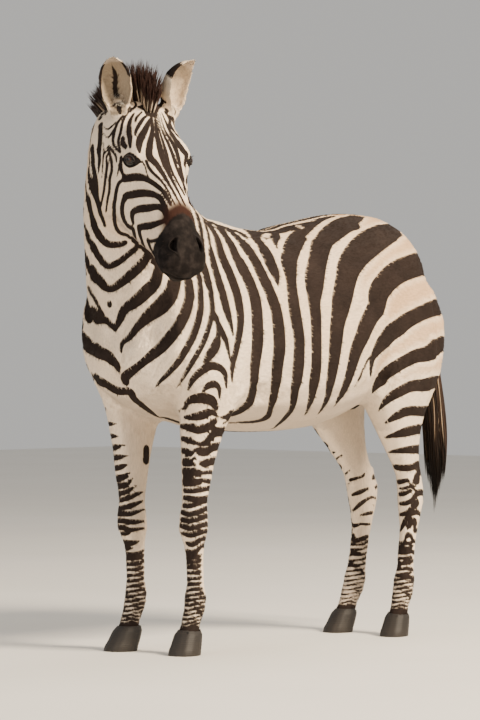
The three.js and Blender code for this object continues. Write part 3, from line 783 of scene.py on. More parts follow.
SHOULDER_BANDS = [
    ((121.5, 352, 122.5, 343, 129.5, 337, 137.5, 327, 149.5, 315, 160, 307, 168, 298, 172, 290, 174.5, 281),
     (0.8, 1.6, 2.2, 2.8, 4.5, 5.6, 5.6, 5, 4.5)),
    ((126.5, 385, 125.5, 377, 133.5, 370, 142.5, 363, 152, 355, 162.5, 346, 173.5, 333, 181.5, 321,
      186.5, 309, 189.5, 295, 188.5, 281), (0.8, 3.5, 3, 2.8, 3.5, 4, 4.2, 4.2, 4, 3.7, 3.2)),
    ((152.5, 391, 160, 382, 168, 374, 176, 365, 184, 353, 192, 338, 197.5, 323, 200.5, 309, 200.5, 295,
      199.5, 281, 197.5, 274), (0.5, 1.4, 1.9, 2.3, 2.6, 2.9, 2.9, 2.6, 2.4, 2, 1.8)),
    ((173.5, 393, 189.5, 367, 204, 341, 211.5, 315, 211, 295, 206, 275, 204, 265),
     (0.6, 1.9, 2.2, 2.2, 2.2, 3, 2.2)),
    ((213, 311, 217, 320, 218, 335, 216, 345, 209, 356, 203, 363), (1.5, 2, 1.8, 4, 3.5, 0.6)),
    ((217, 320, 223.5, 335, 227, 345, 230.5, 362), (1.5, 2.5, 2, 0.5)),
    ((210, 245, 211.5, 255, 217, 275, 225.5, 305, 231, 325, 233, 335), (1.2, 2.5, 3, 3.5, 2, 0.8)),
    ((206, 220, 216, 235, 221.5, 255, 230, 275, 237, 295, 240.5, 320, 237, 345, 232.5, 365, 232, 382),
     (1.8, 3, 3.5, 4, 4, 3.5, 3, 2.5, 0.5)),
    ((188, 390, 192, 381, 199, 373, 208, 367, 214, 366, 220, 368, 225, 374, 226.5, 388),
     (1, 2.2, 3, 3.4, 3.4, 3, 2.4, 0.8)),
    ((203, 391, 208, 386, 214, 384, 219, 388, 219.5, 398), (1, 2.6, 3, 2, 0.8)),
]
BARREL_BANDS = [
    ((211, 222, 221, 230, 231.5, 245, 240.5, 265, 250, 285, 256, 305, 257.5, 340, 255, 365, 253.5, 385,
      247, 405, 228, 416, 218, 418), (2, 3.5, 4.5, 5, 5, 5.5, 5, 3.5, 4, 2.5, 1)),
    ((225, 228.5, 235, 234, 251.5, 255, 262, 275, 271, 295, 277, 315, 279.5, 345, 277.5, 365, 275.5, 385,
      271.5, 405, 262, 420, 222, 423), (3, 4.5, 4, 5, 5, 5.5, 5.5, 4.5, 3.5, 3, 1)),
    ((237, 231.5, 243, 235, 253, 245), (2, 3, 0.5)),
    ((255, 233, 261.5, 245, 267, 255, 271, 265, 275.5, 275, 278, 285), (6.5, 4.5, 5, 5, 3.5, 1)),
    ((258, 231.5, 268, 232, 274, 236, 276, 243, 277, 250), (2.5, 3.5, 4.2, 3.2, 1)),
    ((332, 216.5, 308, 226, 295.5, 241, 289, 260, 291, 280, 294.5, 310, 299, 340, 298, 370, 295, 390,
      291, 410, 275, 427, 262, 430), (2.5, 6.5, 8.5, 8, 5, 5.5, 5, 5, 4, 3, 1.5, 1)),
    ((360, 214.5, 340, 226, 323.5, 240, 318, 260, 314.5, 280, 314, 300, 316, 320, 316.5, 360, 314.5, 380,
      311, 400, 303, 420), (6, 9.5, 10, 9, 9.5, 6, 5, 4.5, 4.5, 3, 1)),
    ((398, 227, 372, 241, 353, 260, 346, 280, 342, 300, 338, 320, 336, 340, 334, 360, 331, 380, 326.5, 400,
      316, 418), (8, 13, 12.5, 10, 9.5, 7, 6, 5, 4, 2.5, 1)),
    ((370, 357, 366, 363, 362, 372, 358, 381, 354, 388), (0.9, 1, 1, 1, 0.6)),
]
HAUNCH_BANDS = [
    ((427, 261, 398, 272, 382, 288, 373, 310, 365, 330, 356.5, 350, 351, 370, 344, 390, 333, 408),
     (11, 11, 10, 8, 7, 5.5, 4, 3, 0.8)),
    ((440, 306, 426, 311, 412, 318, 400, 326, 390, 334, 382, 343, 377, 350, 373, 358, 371, 368, 370.5, 377),
     (8, 7, 7, 7.5, 7.5, 6, 4, 2.5, 1.5, 0.6)),
    ((441, 344, 428, 353, 416, 356, 404, 362, 393, 369, 384, 375, 378, 380, 374, 388, 371, 397),
     (7, 7, 6, 5.5, 5.5, 5, 3.5, 2, 0.8)),
    ((436, 382, 424, 385, 412, 386, 401, 391, 388, 399, 376.5, 413), (5.5, 5.5, 4.8, 4.5, 3.5, 0.8)),
    ((423.5, 411, 409, 411, 398, 415, 381, 426), (4.4, 4.2, 3.5, 0.8)),
    ((418.5, 429, 405, 432, 384, 438), (4.2, 4, 0.8)), ((418.5, 449, 405, 450, 386, 452.5), (4, 3, 0.6)),
]
FORE_LEFT_BANDS = [
    ((184, 405, 192, 399.5, 203, 398, 212, 401, 217, 408), (1, 2.6, 3.2, 3, 1.2)),
    ((176, 411, 183, 409.5, 190, 410.5), (0.8, 1, 0.5)),
    ((184, 418, 193, 417, 203, 415, 210, 412, 216, 414), (1, 2.2, 2.8, 2.2, 1.2)),
    ((176, 426, 187, 427, 198, 430, 208, 427, 216, 420), (1, 2, 2.4, 2.4, 1.4)),
    ((177, 438, 188, 440, 198, 444, 205, 443, 216, 432), (1.4, 1.8, 1.4, 1.8, 2)),
    ((178, 450, 188, 452, 195, 458), (1.6, 2, 0.8)), ((193, 449, 203, 453, 214, 447), (0.8, 2.2, 2)),
    ((179, 462, 188, 462, 196, 466), (2.2, 2.4, 0.8)), ((199, 462, 204, 464, 212, 461), (1, 2.2, 2.2)),
    ((179, 471, 190, 472, 200, 473), (2.6, 2.8, 2)), ((202, 473, 209.5, 472), (1.3, 1.4)),
    ((180, 481, 190, 482, 200, 482), (2.9, 3, 2.2)), ((201, 480, 209, 481), (1.5, 1.7)),
    ((178, 489, 190, 491, 200, 490, 209, 488), (1.6, 2, 2, 2)),
    ((178, 496.5, 190, 498.5, 200, 499, 209, 497), (2.1, 2.5, 2.5, 2)),
    ((177, 503.5, 188, 506, 198, 504, 208, 500.5), (2, 2.5, 2, 1.6)),
    ((177, 510, 188, 514, 198, 512, 209, 507), (2, 2.5, 2.7, 2.2)),
    ((177, 517.5, 188, 521, 198, 519, 209, 515), (2.2, 2.5, 2.5, 2.3)),
    ((178, 524.5, 188, 528, 198, 526.5, 208, 523), (1.9, 2.5, 2.5, 2.2)),
    ((181, 533, 190, 535, 198, 533, 206, 531), (1.2, 2.5, 2.7, 2)),
    ((187, 543, 193, 544, 203, 538), (1.5, 2.4, 1.5)), ((187, 552, 195, 552, 203, 545), (2.2, 2, 1)),
]
FORE_RIGHT_BANDS = [
    ((95, 402, 100, 405, 109, 410), (2.6, 2, 0.5)), ((98, 415, 104, 418), (1.6, 0.4)),
    ((101, 425, 108, 424, 117, 424), (2.4, 2, 0.5)), ((105, 437, 112, 436, 121, 435), (2.4, 2, 0.5)),
    ((110, 448, 116, 447, 126, 445), (2.6, 2.2, 0.4)), ((113, 458, 119, 457, 129, 456), (2.4, 2.2, 0.4)),
    ((116, 468, 121, 467, 128, 464), (2.4, 2.4, 0.6)), ((118, 478, 124, 477, 130, 472), (3, 2.6, 0.8)),
    ((119, 486, 126, 485, 133, 478), (2.8, 2.3, 0.6)), ((119, 494, 128, 491, 138, 484), (2.4, 2, 0.5)),
    ((119, 501, 128, 498, 137, 494, 143, 492), (1.8, 2.5, 2, 0.8)),
    ((120, 508, 130, 506, 145, 500), (2, 2.6, 0.8)), ((121, 514, 131, 513.5, 145, 509), (2.2, 2.2, 0.8)),
    ((122, 521, 133, 522, 145, 521), (2, 2.2, 0.8)), ((124, 528, 130, 530, 145, 528), (2, 2, 0.8)),
    ((126, 534, 130, 533), (1.6, 0.8)), ((127, 543, 132, 543, 140, 541), (2.6, 2.2, 0.5)),
    ((127, 548, 132, 548), (2, 1)), ((127, 556, 134, 556, 140, 554), (3, 2, 0.5)),
    ((127, 564, 140, 565), (1.6, 0.4)),
]
HIND_RIGHT_BANDS = [
    ((321, 451, 326, 454, 335, 452), (2.2, 1.6, 0.5)), ((336, 459, 342, 455), (0.7, 0.6)),
    ((327, 466, 333, 468, 341, 466), (2, 2, 0.6)), ((340, 475, 345, 474, 350, 470), (0.8, 0.8, 0.5)),
    ((338, 481, 341, 480), (1.4, 0.6)), ((350, 480, 357, 478, 363, 476, 366, 471), (1.2, 1, 0.9, 0.5)),
    ((340, 488, 346, 487, 349, 483), (1, 0.8, 0.4)), ((352, 495, 360, 492, 369, 488), (1, 1.6, 0.8)),
    ((344, 493, 348, 492), (0.6, 0.3)), ((345, 502, 350, 500), (1.4, 0.6)),
    ((350, 512, 355, 509, 359, 505, 366, 500, 372, 497, 378, 499), (0.8, 1, 1.5, 1.2, 0.9, 0.6)),
    ((361, 515, 370, 513, 380, 511), (0.8, 1.3, 1)), ((372, 505, 379, 504), (0.5, 1)),
    ((352, 524, 355, 526, 360, 524, 370, 524, 379, 519), (1.2, 1.5, 1, 1, 0.6)),
    ((353, 536, 355, 541, 360, 539, 366, 536, 372, 535), (1.4, 2, 1.6, 1, 0.4)),
    ((352, 552, 356, 554, 361, 553), (2.6, 2.4, 0.8)), ((350, 564, 356, 566, 362, 564), (2.4, 2.4, 0.8)),
    ((362, 575, 363, 565, 366, 555), (0.5, 0.6, 0.4)), ((368, 450, 370, 457, 369, 464), (1.2, 1.6, 0.8)),
    ((378, 470, 375, 474, 373, 478), (2, 2, 1.2)), ((381, 480, 378, 484, 375, 488), (1.6, 1.8, 0.8)),
]
HIND_LEFT_BANDS = [
    ((387, 466, 395, 467, 405, 468, 412, 467, 418, 464), (0.8, 1.6, 2, 2, 2)),
    ((391, 481, 398, 482, 408, 480), (0.6, 1.6, 1.2)), ((420, 469, 418, 476, 415, 483), (2.2, 2.4, 1)),
    ((397, 488, 403, 488.5, 410, 486, 413, 481), (0.5, 0.9, 0.9, 0.8)),
    ((387, 492, 393, 493, 402, 494, 410, 491, 415, 485), (0.9, 1, 1.5, 1, 1)),
    ((415, 491, 422, 491), (1, 1.3)), ((389, 498, 391, 500), (0.6, 0.6)),
    ((394, 502, 400, 503.5, 407, 503, 412, 500, 417, 494, 420, 493), (0.6, 1.2, 1.6, 1.4, 1.6, 1.6)),
    ((390, 507, 395, 512, 400, 514.5, 406, 513, 412, 508, 417, 503), (0.8, 1.2, 1.2, 1.4, 1.6, 2)),
    ((391, 523, 394, 525, 398, 527), (0.6, 1, 0.5)),
    ((400, 531, 403, 525, 406, 519, 411, 514, 417, 512, 420, 514), (1, 1.4, 1.6, 1.5, 1.8, 1.2)),
    ((408, 529, 410, 524, 413, 521, 416, 524, 414, 531), (0.8, 1.8, 2.4, 1.6, 0.8)),
    ((405, 540, 408, 534, 411, 536, 413, 541), (0.8, 1.6, 1.4, 0.8)),
    ((396, 540, 397, 547, 399, 551, 402, 547, 405, 541), (1.2, 1.8, 2.2, 1.6, 0.8)),
    ((404, 551, 408, 549, 412, 552), (1.2, 1.6, 1.2)), ((397, 557, 399, 563, 402, 563), (1.6, 1.8, 1)),
    ((404, 562, 407, 559, 411, 561), (1, 1.4, 1)), ((396, 566, 400, 567), (1.6, 1.2)),
    ((403, 569, 407, 568, 412, 570), (0.8, 1.4, 1)),
    ((395, 574, 400, 576, 406, 575, 411, 578), (1.3, 1.3, 1.3, 1.2)),
]
CHEEK_BANDS = [
    ((121, 158, 121, 165, 122.5, 172, 126, 178), (1.1, 1.2, 1.3, 1.4)),
    ((124, 178.5, 138, 177, 148, 180, 162, 190, 168.5, 200, 170.5, 205), (2.8, 2.9, 2, 1.6, 1.3, 1)),
    ((124, 179, 119, 183, 116.5, 190, 115, 200, 114.5, 210, 114.5, 220, 116, 227, 119, 232, 123, 234,
      127, 235, 130, 238), (1.3, 1.2, 1.2, 1.3, 1.3, 1.2, 1)),
    ((124, 200, 126, 196, 132, 194.5, 138, 193.5, 144, 193, 150, 193.5, 155, 195, 160, 198, 163, 203,
      166, 209, 168, 216), (1.6, 2.4, 2.8, 2.8, 2.6, 2.2, 2, 1.8, 1.5, 1.2)),
    ((124, 199, 122.5, 204, 122, 210, 123, 217, 125, 222, 128, 226, 132, 228, 134, 233, 135, 240, 137, 244,
      139, 247), (1.6, 1.4, 1.4, 1.3, 1.3, 1.2, 1.1)),
    ((133, 222, 132, 217, 133, 212, 137, 209.5, 142, 208.5, 148, 208, 154, 207, 159, 207, 163, 210,
      165, 214, 166.5, 219), (1, 1.4, 2, 2.6, 2.7, 2.5, 2.1, 1.8, 1.5, 1)),
    ((139, 230, 139, 228, 142, 226.5, 148, 226, 154, 224.5, 160, 222.5, 165, 221, 167, 224),
     (1.2, 1.8, 2.3, 2.5, 2.2, 1.8, 1.4, 1)),
    ((139, 230, 140, 235, 142, 241, 144, 247, 147, 252, 151, 257), (1.2, 1.1, 1.1, 1)),
    ((148, 240.5, 152, 241, 158, 239.5, 163, 237.5, 165, 234), (1.1, 1.3, 1.4, 1)),
    ((148, 241, 149.5, 246, 151.5, 250, 154, 255, 157, 260), (1.1, 1.1, 1)),
]
TEMPLE_LINES = [
    ((107.5, 147, 109, 152, 111.5, 160, 112, 170, 110, 178, 109.5, 190, 107.5, 200, 106, 212),
     (1, 1.4, 1.4, 1.4, 1.3, 1.2, 0.8)),
    ((105, 150, 106.5, 158, 107, 165, 106, 175, 105, 182, 104, 190, 102.5, 198, 101, 206),
     (0.8, 1.3, 1.3, 1.2, 0.9)),
    ((103.5, 142, 103.5, 150, 103, 160, 102.5, 168, 102, 178), (0.5, 0.8, 0.6)),
    ((108.5, 145, 110.5, 148, 113.5, 152, 116, 156, 116.5, 161), (1, 1.4, 1.3, 0.8)),
    ((119, 164, 118.5, 170, 117, 176), (0.7, 0.8, 0.5)),
    ((119.5, 152, 117, 149, 114, 145, 113, 140, 114, 134, 115, 129, 117, 124, 121, 118, 126, 112, 130, 107),
     (1, 1.5, 1.5, 1.3, 1)),
    ((120.5, 152, 119.5, 147, 118.5, 143, 119, 138, 120.5, 133, 121.5, 127, 123, 121, 125.5, 116, 129, 112,
      132, 108), (1, 1.4, 1.5, 1.4, 1)),
    ((104.5, 126, 106, 129, 108.5, 129, 112, 126, 116, 122), (0.7, 1, 1, 0.7)),
    ((104, 133, 106, 137, 108.5, 137.5, 111, 134, 115, 127), (0.7, 0.9, 1, 0.6)),
    ((142, 161, 145, 166, 146.5, 172, 149, 178), (0.7, 0.7, 0.6)),
]
BROW_BANDS = [
    ((130.5, 147, 130, 142, 130, 137, 129, 133, 129, 127, 130, 121, 132, 117, 134, 113.5),
     (1, 1.8, 2.3, 2, 1.4, 0.9)),
    ((122.5, 138, 123, 143, 126, 147), (1.4, 2, 1.6)),
    ((135.5, 135, 136, 131, 138, 127, 141, 122, 144, 118, 148, 115), (1, 1.6, 1.7, 1)),
    ((135.5, 122, 136.5, 118, 139, 115, 142, 112), (1, 1.2, 0.8)),
    ((139.5, 152, 139, 146, 140, 140, 143, 134, 146, 128, 149, 122, 151, 118), (1, 2.4, 3, 2.6, 2, 1)),
    ((146, 161, 150.5, 170, 160.5, 180, 167.5, 190, 175, 205), (1.1, 1.5, 1.5, 1.4, 1)),
    ((151, 112, 152.5, 130, 150, 143, 149.5, 156, 157, 165, 169.5, 185, 180.5, 205),
     (0.8, 1.7, 2.4, 2.6, 2.4, 1.7, 1)),
    ((154.5, 113, 158, 140, 163.5, 160, 172, 180, 177.5, 190, 185, 205), (0.5, 1.9, 2.3, 1.7, 1.4, 1)),
]
BROW_LINES = [
    ((156.5, 114, 159.5, 130, 165.5, 150, 171.5, 170, 184.5, 195), (0.4, 0.7, 1.1, 1.1, 0.9)),
    ((158, 114, 162, 130, 171, 150, 177.5, 170, 186.5, 190), (0.4, 0.7, 1.2, 1.1, 1)),
    ((160, 114, 165, 130, 176, 150, 181, 170, 184, 180), (0.4, 0.8, 1.4, 1.3, 1)),
    ((162, 113, 169, 129, 176, 140, 182.5, 150, 186, 155, 184.5, 165), (0.5, 1.2, 1.8, 1.8, 1.6, 1)),
    ((164.5, 112, 169, 119, 173, 130, 186.5, 145), (0.6, 1.1, 1.8, 1.2)),
    ((180.5, 170, 182, 178, 184, 186, 187, 196, 190, 206), (0.8, 1, 1, 0.8)),
]
FORELOCK_FOOT = [
    ((139, 107, 146, 108, 152, 113, 158, 106, 166, 98), (1.2, 3.2, 4.2, 3.4, 2)),
    ((134, 101, 136, 105, 132, 110, 126, 114), (0.8, 1.3, 1.3, 1)),
]
# Pale gaps that cut through the dark of the back.
PALE_GAPS = [
    ((309.5, 237.5, 320, 226.5, 329.5, 220, 341, 216.5, 351, 215), (3.6, 2.6, 1.8, 1.2, 0.9)),
    ((280.5, 251.5, 280.5, 243, 285.5, 235.5, 292, 230.5), (2.3, 2.5, 1.8, 1.4)),
    ((268, 234, 262, 237.5, 267, 245), (1.5, 1.8, 0.9)), ((296, 226, 301, 228), (1.2, 1.2)),
    ((213, 225, 221.5, 238, 228, 254.5), (0.8, 1.6, 2.2)),
    ((224, 229, 235, 241.5, 243, 256.5), (0.8, 1.6, 2)), ((235.5, 232.5, 249.5, 243), (0.7, 1.3)),
    ((245, 232.5, 253, 245, 261.5, 259.5), (0.7, 1.2, 1.8)),
    ((268, 230, 290, 225, 314, 220.5), (0.7, 0.8, 0.7)),
]
# How much wider than its table each group is drawn, by places along x (0) or y (1) in the frame.
FULLER = {
    "cheek": (1, (150, 170, 200), (1.4, 1.4, 1.55)),
    "temple": (1, (130, 200), (1.0, 1.1)),
    "brow": (1, (115, 140, 155, 175, 195), (1.15, 1.42, 1.48, 0.98, 0.85)),
    "line": (1, (115, 135, 150, 175, 195), (0.95, 1.25, 1.45, 1.12, 0.85)),
    "throat": (1, (200, 262, 285), (1.4, 1.5, 1.95)),
    "shoulder": (0, (170, 215, 230), (1.5, 1.25, 1.1)),
    "barrel": (1, (300, 390), (1.08, 1.18)),
    "haunch": (1, (260, 330, 400), (1.1, 1.12, 1.2)),
    "front_left": (1, (410, 440, 470, 492, 500, 530, 545), (1.7, 1.75, 1.6, 1.3, 1.1, 1.1, 1.35)),
    "front_right": (1, (440, 470, 500, 520, 560), (1.4, 1.25, 1.1, 1.3, 1.4)),
    "hind_right": (1, (450, 520, 560), (1.6, 1.5, 0.9)),
    "hind_left": (1, (460, 520, 570), (1.8, 1.6, 1.4)),
    "plain": (1, (0, 700), (1.0, 1.0)),
}
# Bands that the head hides, on the neck's chart: places up the neck and degrees round from the throat by
# turns, then half-widths in millimetres.
HIDDEN_LEFT_BANDS = [
    ((3.4, 18, 3.5, 32, 3.8, 55, 4.3, 82, 4.85, 112, 5.15, 142, 5.3, 179), (6, 8, 9, 10, 11, 11)),
    ((3.08, 26, 3.2, 42, 3.6, 68, 4.05, 98, 4.4, 135, 4.5, 179), (6, 9, 10, 11, 12, 12)),
    ((2.62, 34, 2.8, 54, 3.15, 80, 3.5, 108, 3.75, 140, 3.85, 179), (8, 10, 11, 12, 12, 12)),
    ((2.04, 45, 2.3, 64, 2.65, 90, 3, 120, 3.2, 150, 3.25, 179), (9, 10, 11, 12, 12, 12)),
    ((1.43, 58, 1.75, 78, 2.1, 104, 2.45, 132, 2.65, 155, 2.7, 179), (13, 12, 12, 13, 13, 12)),
    ((1.1, 70, 1.42, 88, 1.72, 110, 2, 135, 2.2, 158, 2.25, 179), (10, 11, 11, 12, 12, 11)),
    ((0.83, 81, 1.15, 98, 1.42, 118, 1.65, 140, 1.8, 160, 1.85, 179), (6, 8, 10, 10, 11, 11)),
    ((0.7, 92, 0.95, 108, 1.18, 126, 1.35, 148, 1.45, 179), (7, 9, 10, 11, 11)),
    ((0.8, 128, 0.93, 140, 1.05, 156, 1.1, 179), (6, 9, 10, 10)),
    ((4.45, 20, 4.6, 45, 5, 78, 5.45, 110, 5.8, 140, 5.95, 179), (5, 7, 8, 9, 10, 10)),
    ((5.2, 24, 5.4, 50, 5.8, 85, 6.2, 120, 6.4, 150, 6.5, 179), (5, 6, 7, 8, 8, 8)),
]
HIDDEN_RIGHT_BANDS = [
    ((4.27, -58, 4.5, -88, 4.8, -120, 5, -150, 5.1, -179), (5, 8, 10, 11, 11)),
    ((3.53, -58, 3.75, -85, 4.1, -118, 4.35, -150, 4.4, -179), (8, 10, 12, 12, 12)),
    ((2.5, -38, 2.75, -62, 3.1, -92, 3.5, -125, 3.75, -152, 3.85, -179), (9, 10, 12, 12, 12, 12)),
    ((4.67, -66, 4.95, -95, 5.3, -128, 5.5, -155, 5.55, -179), (4, 7, 9, 9, 9)),
    ((5.3, -83, 5.6, -108, 5.9, -135, 6, -160, 6.05, -179), (4, 6, 8, 8, 8)),
    ((6, -118, 6.25, -145, 6.4, -179), (4, 6, 6)),
]
CALLUS = ((146.5, 449, 146.5, 459), (3, 3.7, 3))  # the bare dark chestnut inside the right forearm
LEG_BANDS = {
    "front_left": FORE_LEFT_BANDS, "front_right": FORE_RIGHT_BANDS,
    "hind_left": HIND_LEFT_BANDS, "hind_right": HIND_RIGHT_BANDS,
}
RING_HALVES = ((80, 130, 200, 290), (3.8, 4.9, 6.0, 6.8))
RING_SHARES = {"front_left": 1.0, "front_right": 0.95, "hind_left": 0.9, "hind_right": 0.72}
LOWER_RINGS = (293, 278, 262, 245, 228, 212, 196, 181, 167, 153, 139, 126, 113, 101, 90, 79)
RING_POINTS = 31
PALE_BEHIND = 172  # above this height the rings fade out behind the shin
NO_MARK = -30.0  # millimetres outside every stroke
FACING = 0.10  # how squarely skin must face the camera for its own strokes to be used
PIXEL = CAMERA_DISTANCE / FOCAL  # what one pixel of the frame covers at the animal, in metres
LONGEST_GAP = 0.06  # a stroke is cut where its places on the skin jump further apart
CHART_STEP = 20  # the neck's chart is stretched by this, so its paths are stepped evenly
FINE_STEP = 1.5
TRUNK_WRAP = {"to_turn": 176, "rise": 18, "tail": 30, "reach": 0.5}  # how the haunch's bands go on round it
# The angle each leg's own strokes are carried on round to, from those that reach past the least angle.
LEG_WRAPS = {"front_left": (230, 78), "front_right": (-200, -999), "hind_left": (235, 88)}
LEAST_WRAPPED = 0.003  # finer strokes aren't carried on


def ray_of(x, y):
    """The direction from the camera through a point of the frame."""
    right = unit(np.cross(UP, TO_CAMERA))
    above = np.cross(TO_CAMERA, right)
    return unit(-TO_CAMERA * FOCAL + right * (x - FRAME_WIDE / 2) + above * (FRAME_TALL / 2 - y))


def seen_point(tree, x, y):
    return cast(tree, AIM + TO_CAMERA * CAMERA_DISTANCE, ray_of(x, y))


def stroke_table(flat, halves):
    """A stroke's points, and its half-width at each."""
    marks = np.asarray(flat, float).reshape(-1, 2)
    return marks, np.interp(np.linspace(0, 1, len(marks)), np.linspace(0, 1, len(halves)), halves)


def seen_stroke(tree, flat, halves, group, step=2.0):
    """A stroke of the frame as places on the skin and half-widths in metres, in unbroken runs."""
    marks, widths = stroke_table(flat, halves)
    axis, places, factors = FULLER[group]
    widths = widths * np.interp(marks[:, axis], places, factors)
    path = smooth_path(np.column_stack([marks, widths]), step)
    runs = [[]]
    for k, (x, y, w) in enumerate(path):
        ahead = path[min(k + 1, len(path) - 1)] - path[max(k - 1, 0)]
        across = np.array([-ahead[1], ahead[0]]) / max(math.hypot(ahead[0], ahead[1]), 1e-9)
        hits = [seen_point(tree, x + across[0] * off, y + across[1] * off) for off in (0, w, -w)]
        if hits[0] is None or (runs[-1] and np.linalg.norm(hits[0] - runs[-1][-1][0][0]) > LONGEST_GAP):
            runs.append([])
        if hits[0] is not None:
            runs[-1].append((hits, w * PIXEL))
    made = []
    for run in runs:
        if len(run) < 2:
            continue
        places = np.array([hits[0] for hits, _ in run])
        sizes = []
        for (hits, plain), tangent in zip(run, unit(np.gradient(places, axis=0))):
            half = plain * 1.1
            if hits[1] is not None and hits[2] is not None:
                wide = (hits[1] - hits[2]) / 2
                half = np.clip(np.linalg.norm(wide - tangent * (wide @ tangent)), plain * 0.9, plain * 2.0)
            sizes.append(half)
        made.append((places, np.array(sizes)))
    return made


def chart_stroke(tree, flat, halves):
    """A stroke of the neck's chart as places on the skin and half-widths in metres."""
    marks, widths = stroke_table(flat, halves)
    table = np.column_stack([marks[:, 0] * CHART_STEP, marks[:, 1], widths])
    found = [(neck_point(tree, p / CHART_STEP, d), w * MM) for p, d, w in smooth_path(table, 4.0)]
    found = [(p, w) for p, w in found if p is not None]
    return [(np.array([p for p, _ in found]), np.array([w for _, w in found]))]


def mirrored_strokes(strokes, tree, flip, keep):
    """Strokes copied to the other side, wherever keep(points, normals) holds."""
    made = []
    for points, halves in strokes:
        places, normals = on_tree(tree, flip(points))
        kept = keep(places, normals)
        cuts = np.flatnonzero(np.diff(kept.astype(int))) + 1
        for part in np.split(np.arange(len(points)), cuts):
            if kept[part[0]] and len(part) > 1:
                made.append((places[part], halves[part]))
    return made


def turn_about(middle, point):
    """Degrees from straight ahead towards the animal's left, about an upright line."""
    return math.degrees(math.atan2(point[0] - middle[0], -(point[1] - middle[1])))


def wrapped(tree, middle_at, stroke, to_turn, rise=0.0, tail=60.0, reach=0.14):
    """Carries a stroke on round a limb, about level, from the end nearer to to_turn, and tapers it out."""
    points, halves = stroke
    gaps = [to_turn - turn_about(middle_at(points[k][2]), points[k]) for k in (0, -1)]
    end = 0 if abs(gaps[0]) < abs(gaps[1]) else -1
    gap = gaps[end]
    count = max(int(abs(gap) / 10), 2)
    made = [(points[end], halves[end])]
    for k in range(1, count + 1):
        turn = math.radians(to_turn - gap * (1 - k / count))
        z = points[end][2] + rise * MM * k / count
        x, y = middle_at(z)
        place = cast_level(tree, (x, y, z), turn)
        if place is not None and math.hypot(place[0] - x, place[1] - y) < reach:
            made.append((place, halves[end] * min(1.0, (1 - k / count) * abs(gap) / tail + 0.08)))
    return np.array([p for p, _ in made]), np.array([w for _, w in made])


def rump_middle(_):
    return TRUNK_AT[0], TRUNK_AT[1] + 0.33


def lower_rings(tree, name, rng):
    """The close rings of the shin and fetlock, with a paler gap behind the shin."""
    sign = side_of(name)
    made = []
    for z in LOWER_RINGS:
        start = rng.uniform(-25, 25)
        path, widths = [], []
        for k in range(RING_POINTS):
            turn = start + 360 / (RING_POINTS - 1) * k
            back = abs((turn * sign - 165 + 180) % 360 - 180)
            fade = 1.0 if z < PALE_BEHIND else ramp(back, 34, 82)
            slope = -7 * math.cos(math.radians(turn)) - 2 * math.sin(math.radians(2 * turn + z))
            place = leg_point(tree, name, turn, (z + slope) * MM)
            if place is not None:
                path.append(place)
                half = np.interp(z, *RING_HALVES) * RING_SHARES[name]
                widths.append((half + 0.7 * math.sin(math.radians(turn * 3 + z * 7))) * fade * MM - 0.0004)
        made.append((np.array(path), np.array(widths)))
    return made


def marks_of(co, strokes):
    """How far inside the nearest stroke each point is, in millimetres; negative outside."""
    mark = np.full(len(co), NO_MARK)
    margin = -NO_MARK * MM
    for points, halves in strokes:
        reach = margin + halves.max()
        low, high = points.min(0) - reach, points.max(0) + reach
        near = np.flatnonzero(np.all((co > low) & (co < high), axis=1))
        if not len(near):
            continue
        best = np.full(len(near), NO_MARK * MM)
        for a, b, wa, wb in zip(points[:-1], points[1:], halves[:-1], halves[1:]):
            gap, t = segment_gap(co[near], a, b)
            best = np.maximum(best, wa + t * (wb - wa) - gap)
        mark[near] = np.maximum(mark[near], best / MM)
    return mark


def hidden(_, normals):
    return normals @ TO_CAMERA < FACING


def flip_head(points):
    return points - 2 * ((points - POLL) @ TO_LEFT)[:, None] * TO_LEFT


def hidden_cheek(places, _):
    l, n = head_coords(places).T[1:]
    return (l > 0) & (np.degrees(np.arctan2(np.abs(l), n - AXIS_DEPTH)) > 36)


def flip_leg(left, right):
    def flip(points):
        made = points.copy()
        for k, p in enumerate(points):
            a, b = leg_middle(left, p[2]), leg_middle(right, p[2])
            made[k, 0] = b[0] - (p[0] - a[0])
            made[k, 1] = b[1] + (p[1] - a[1])
        return made
    return flip


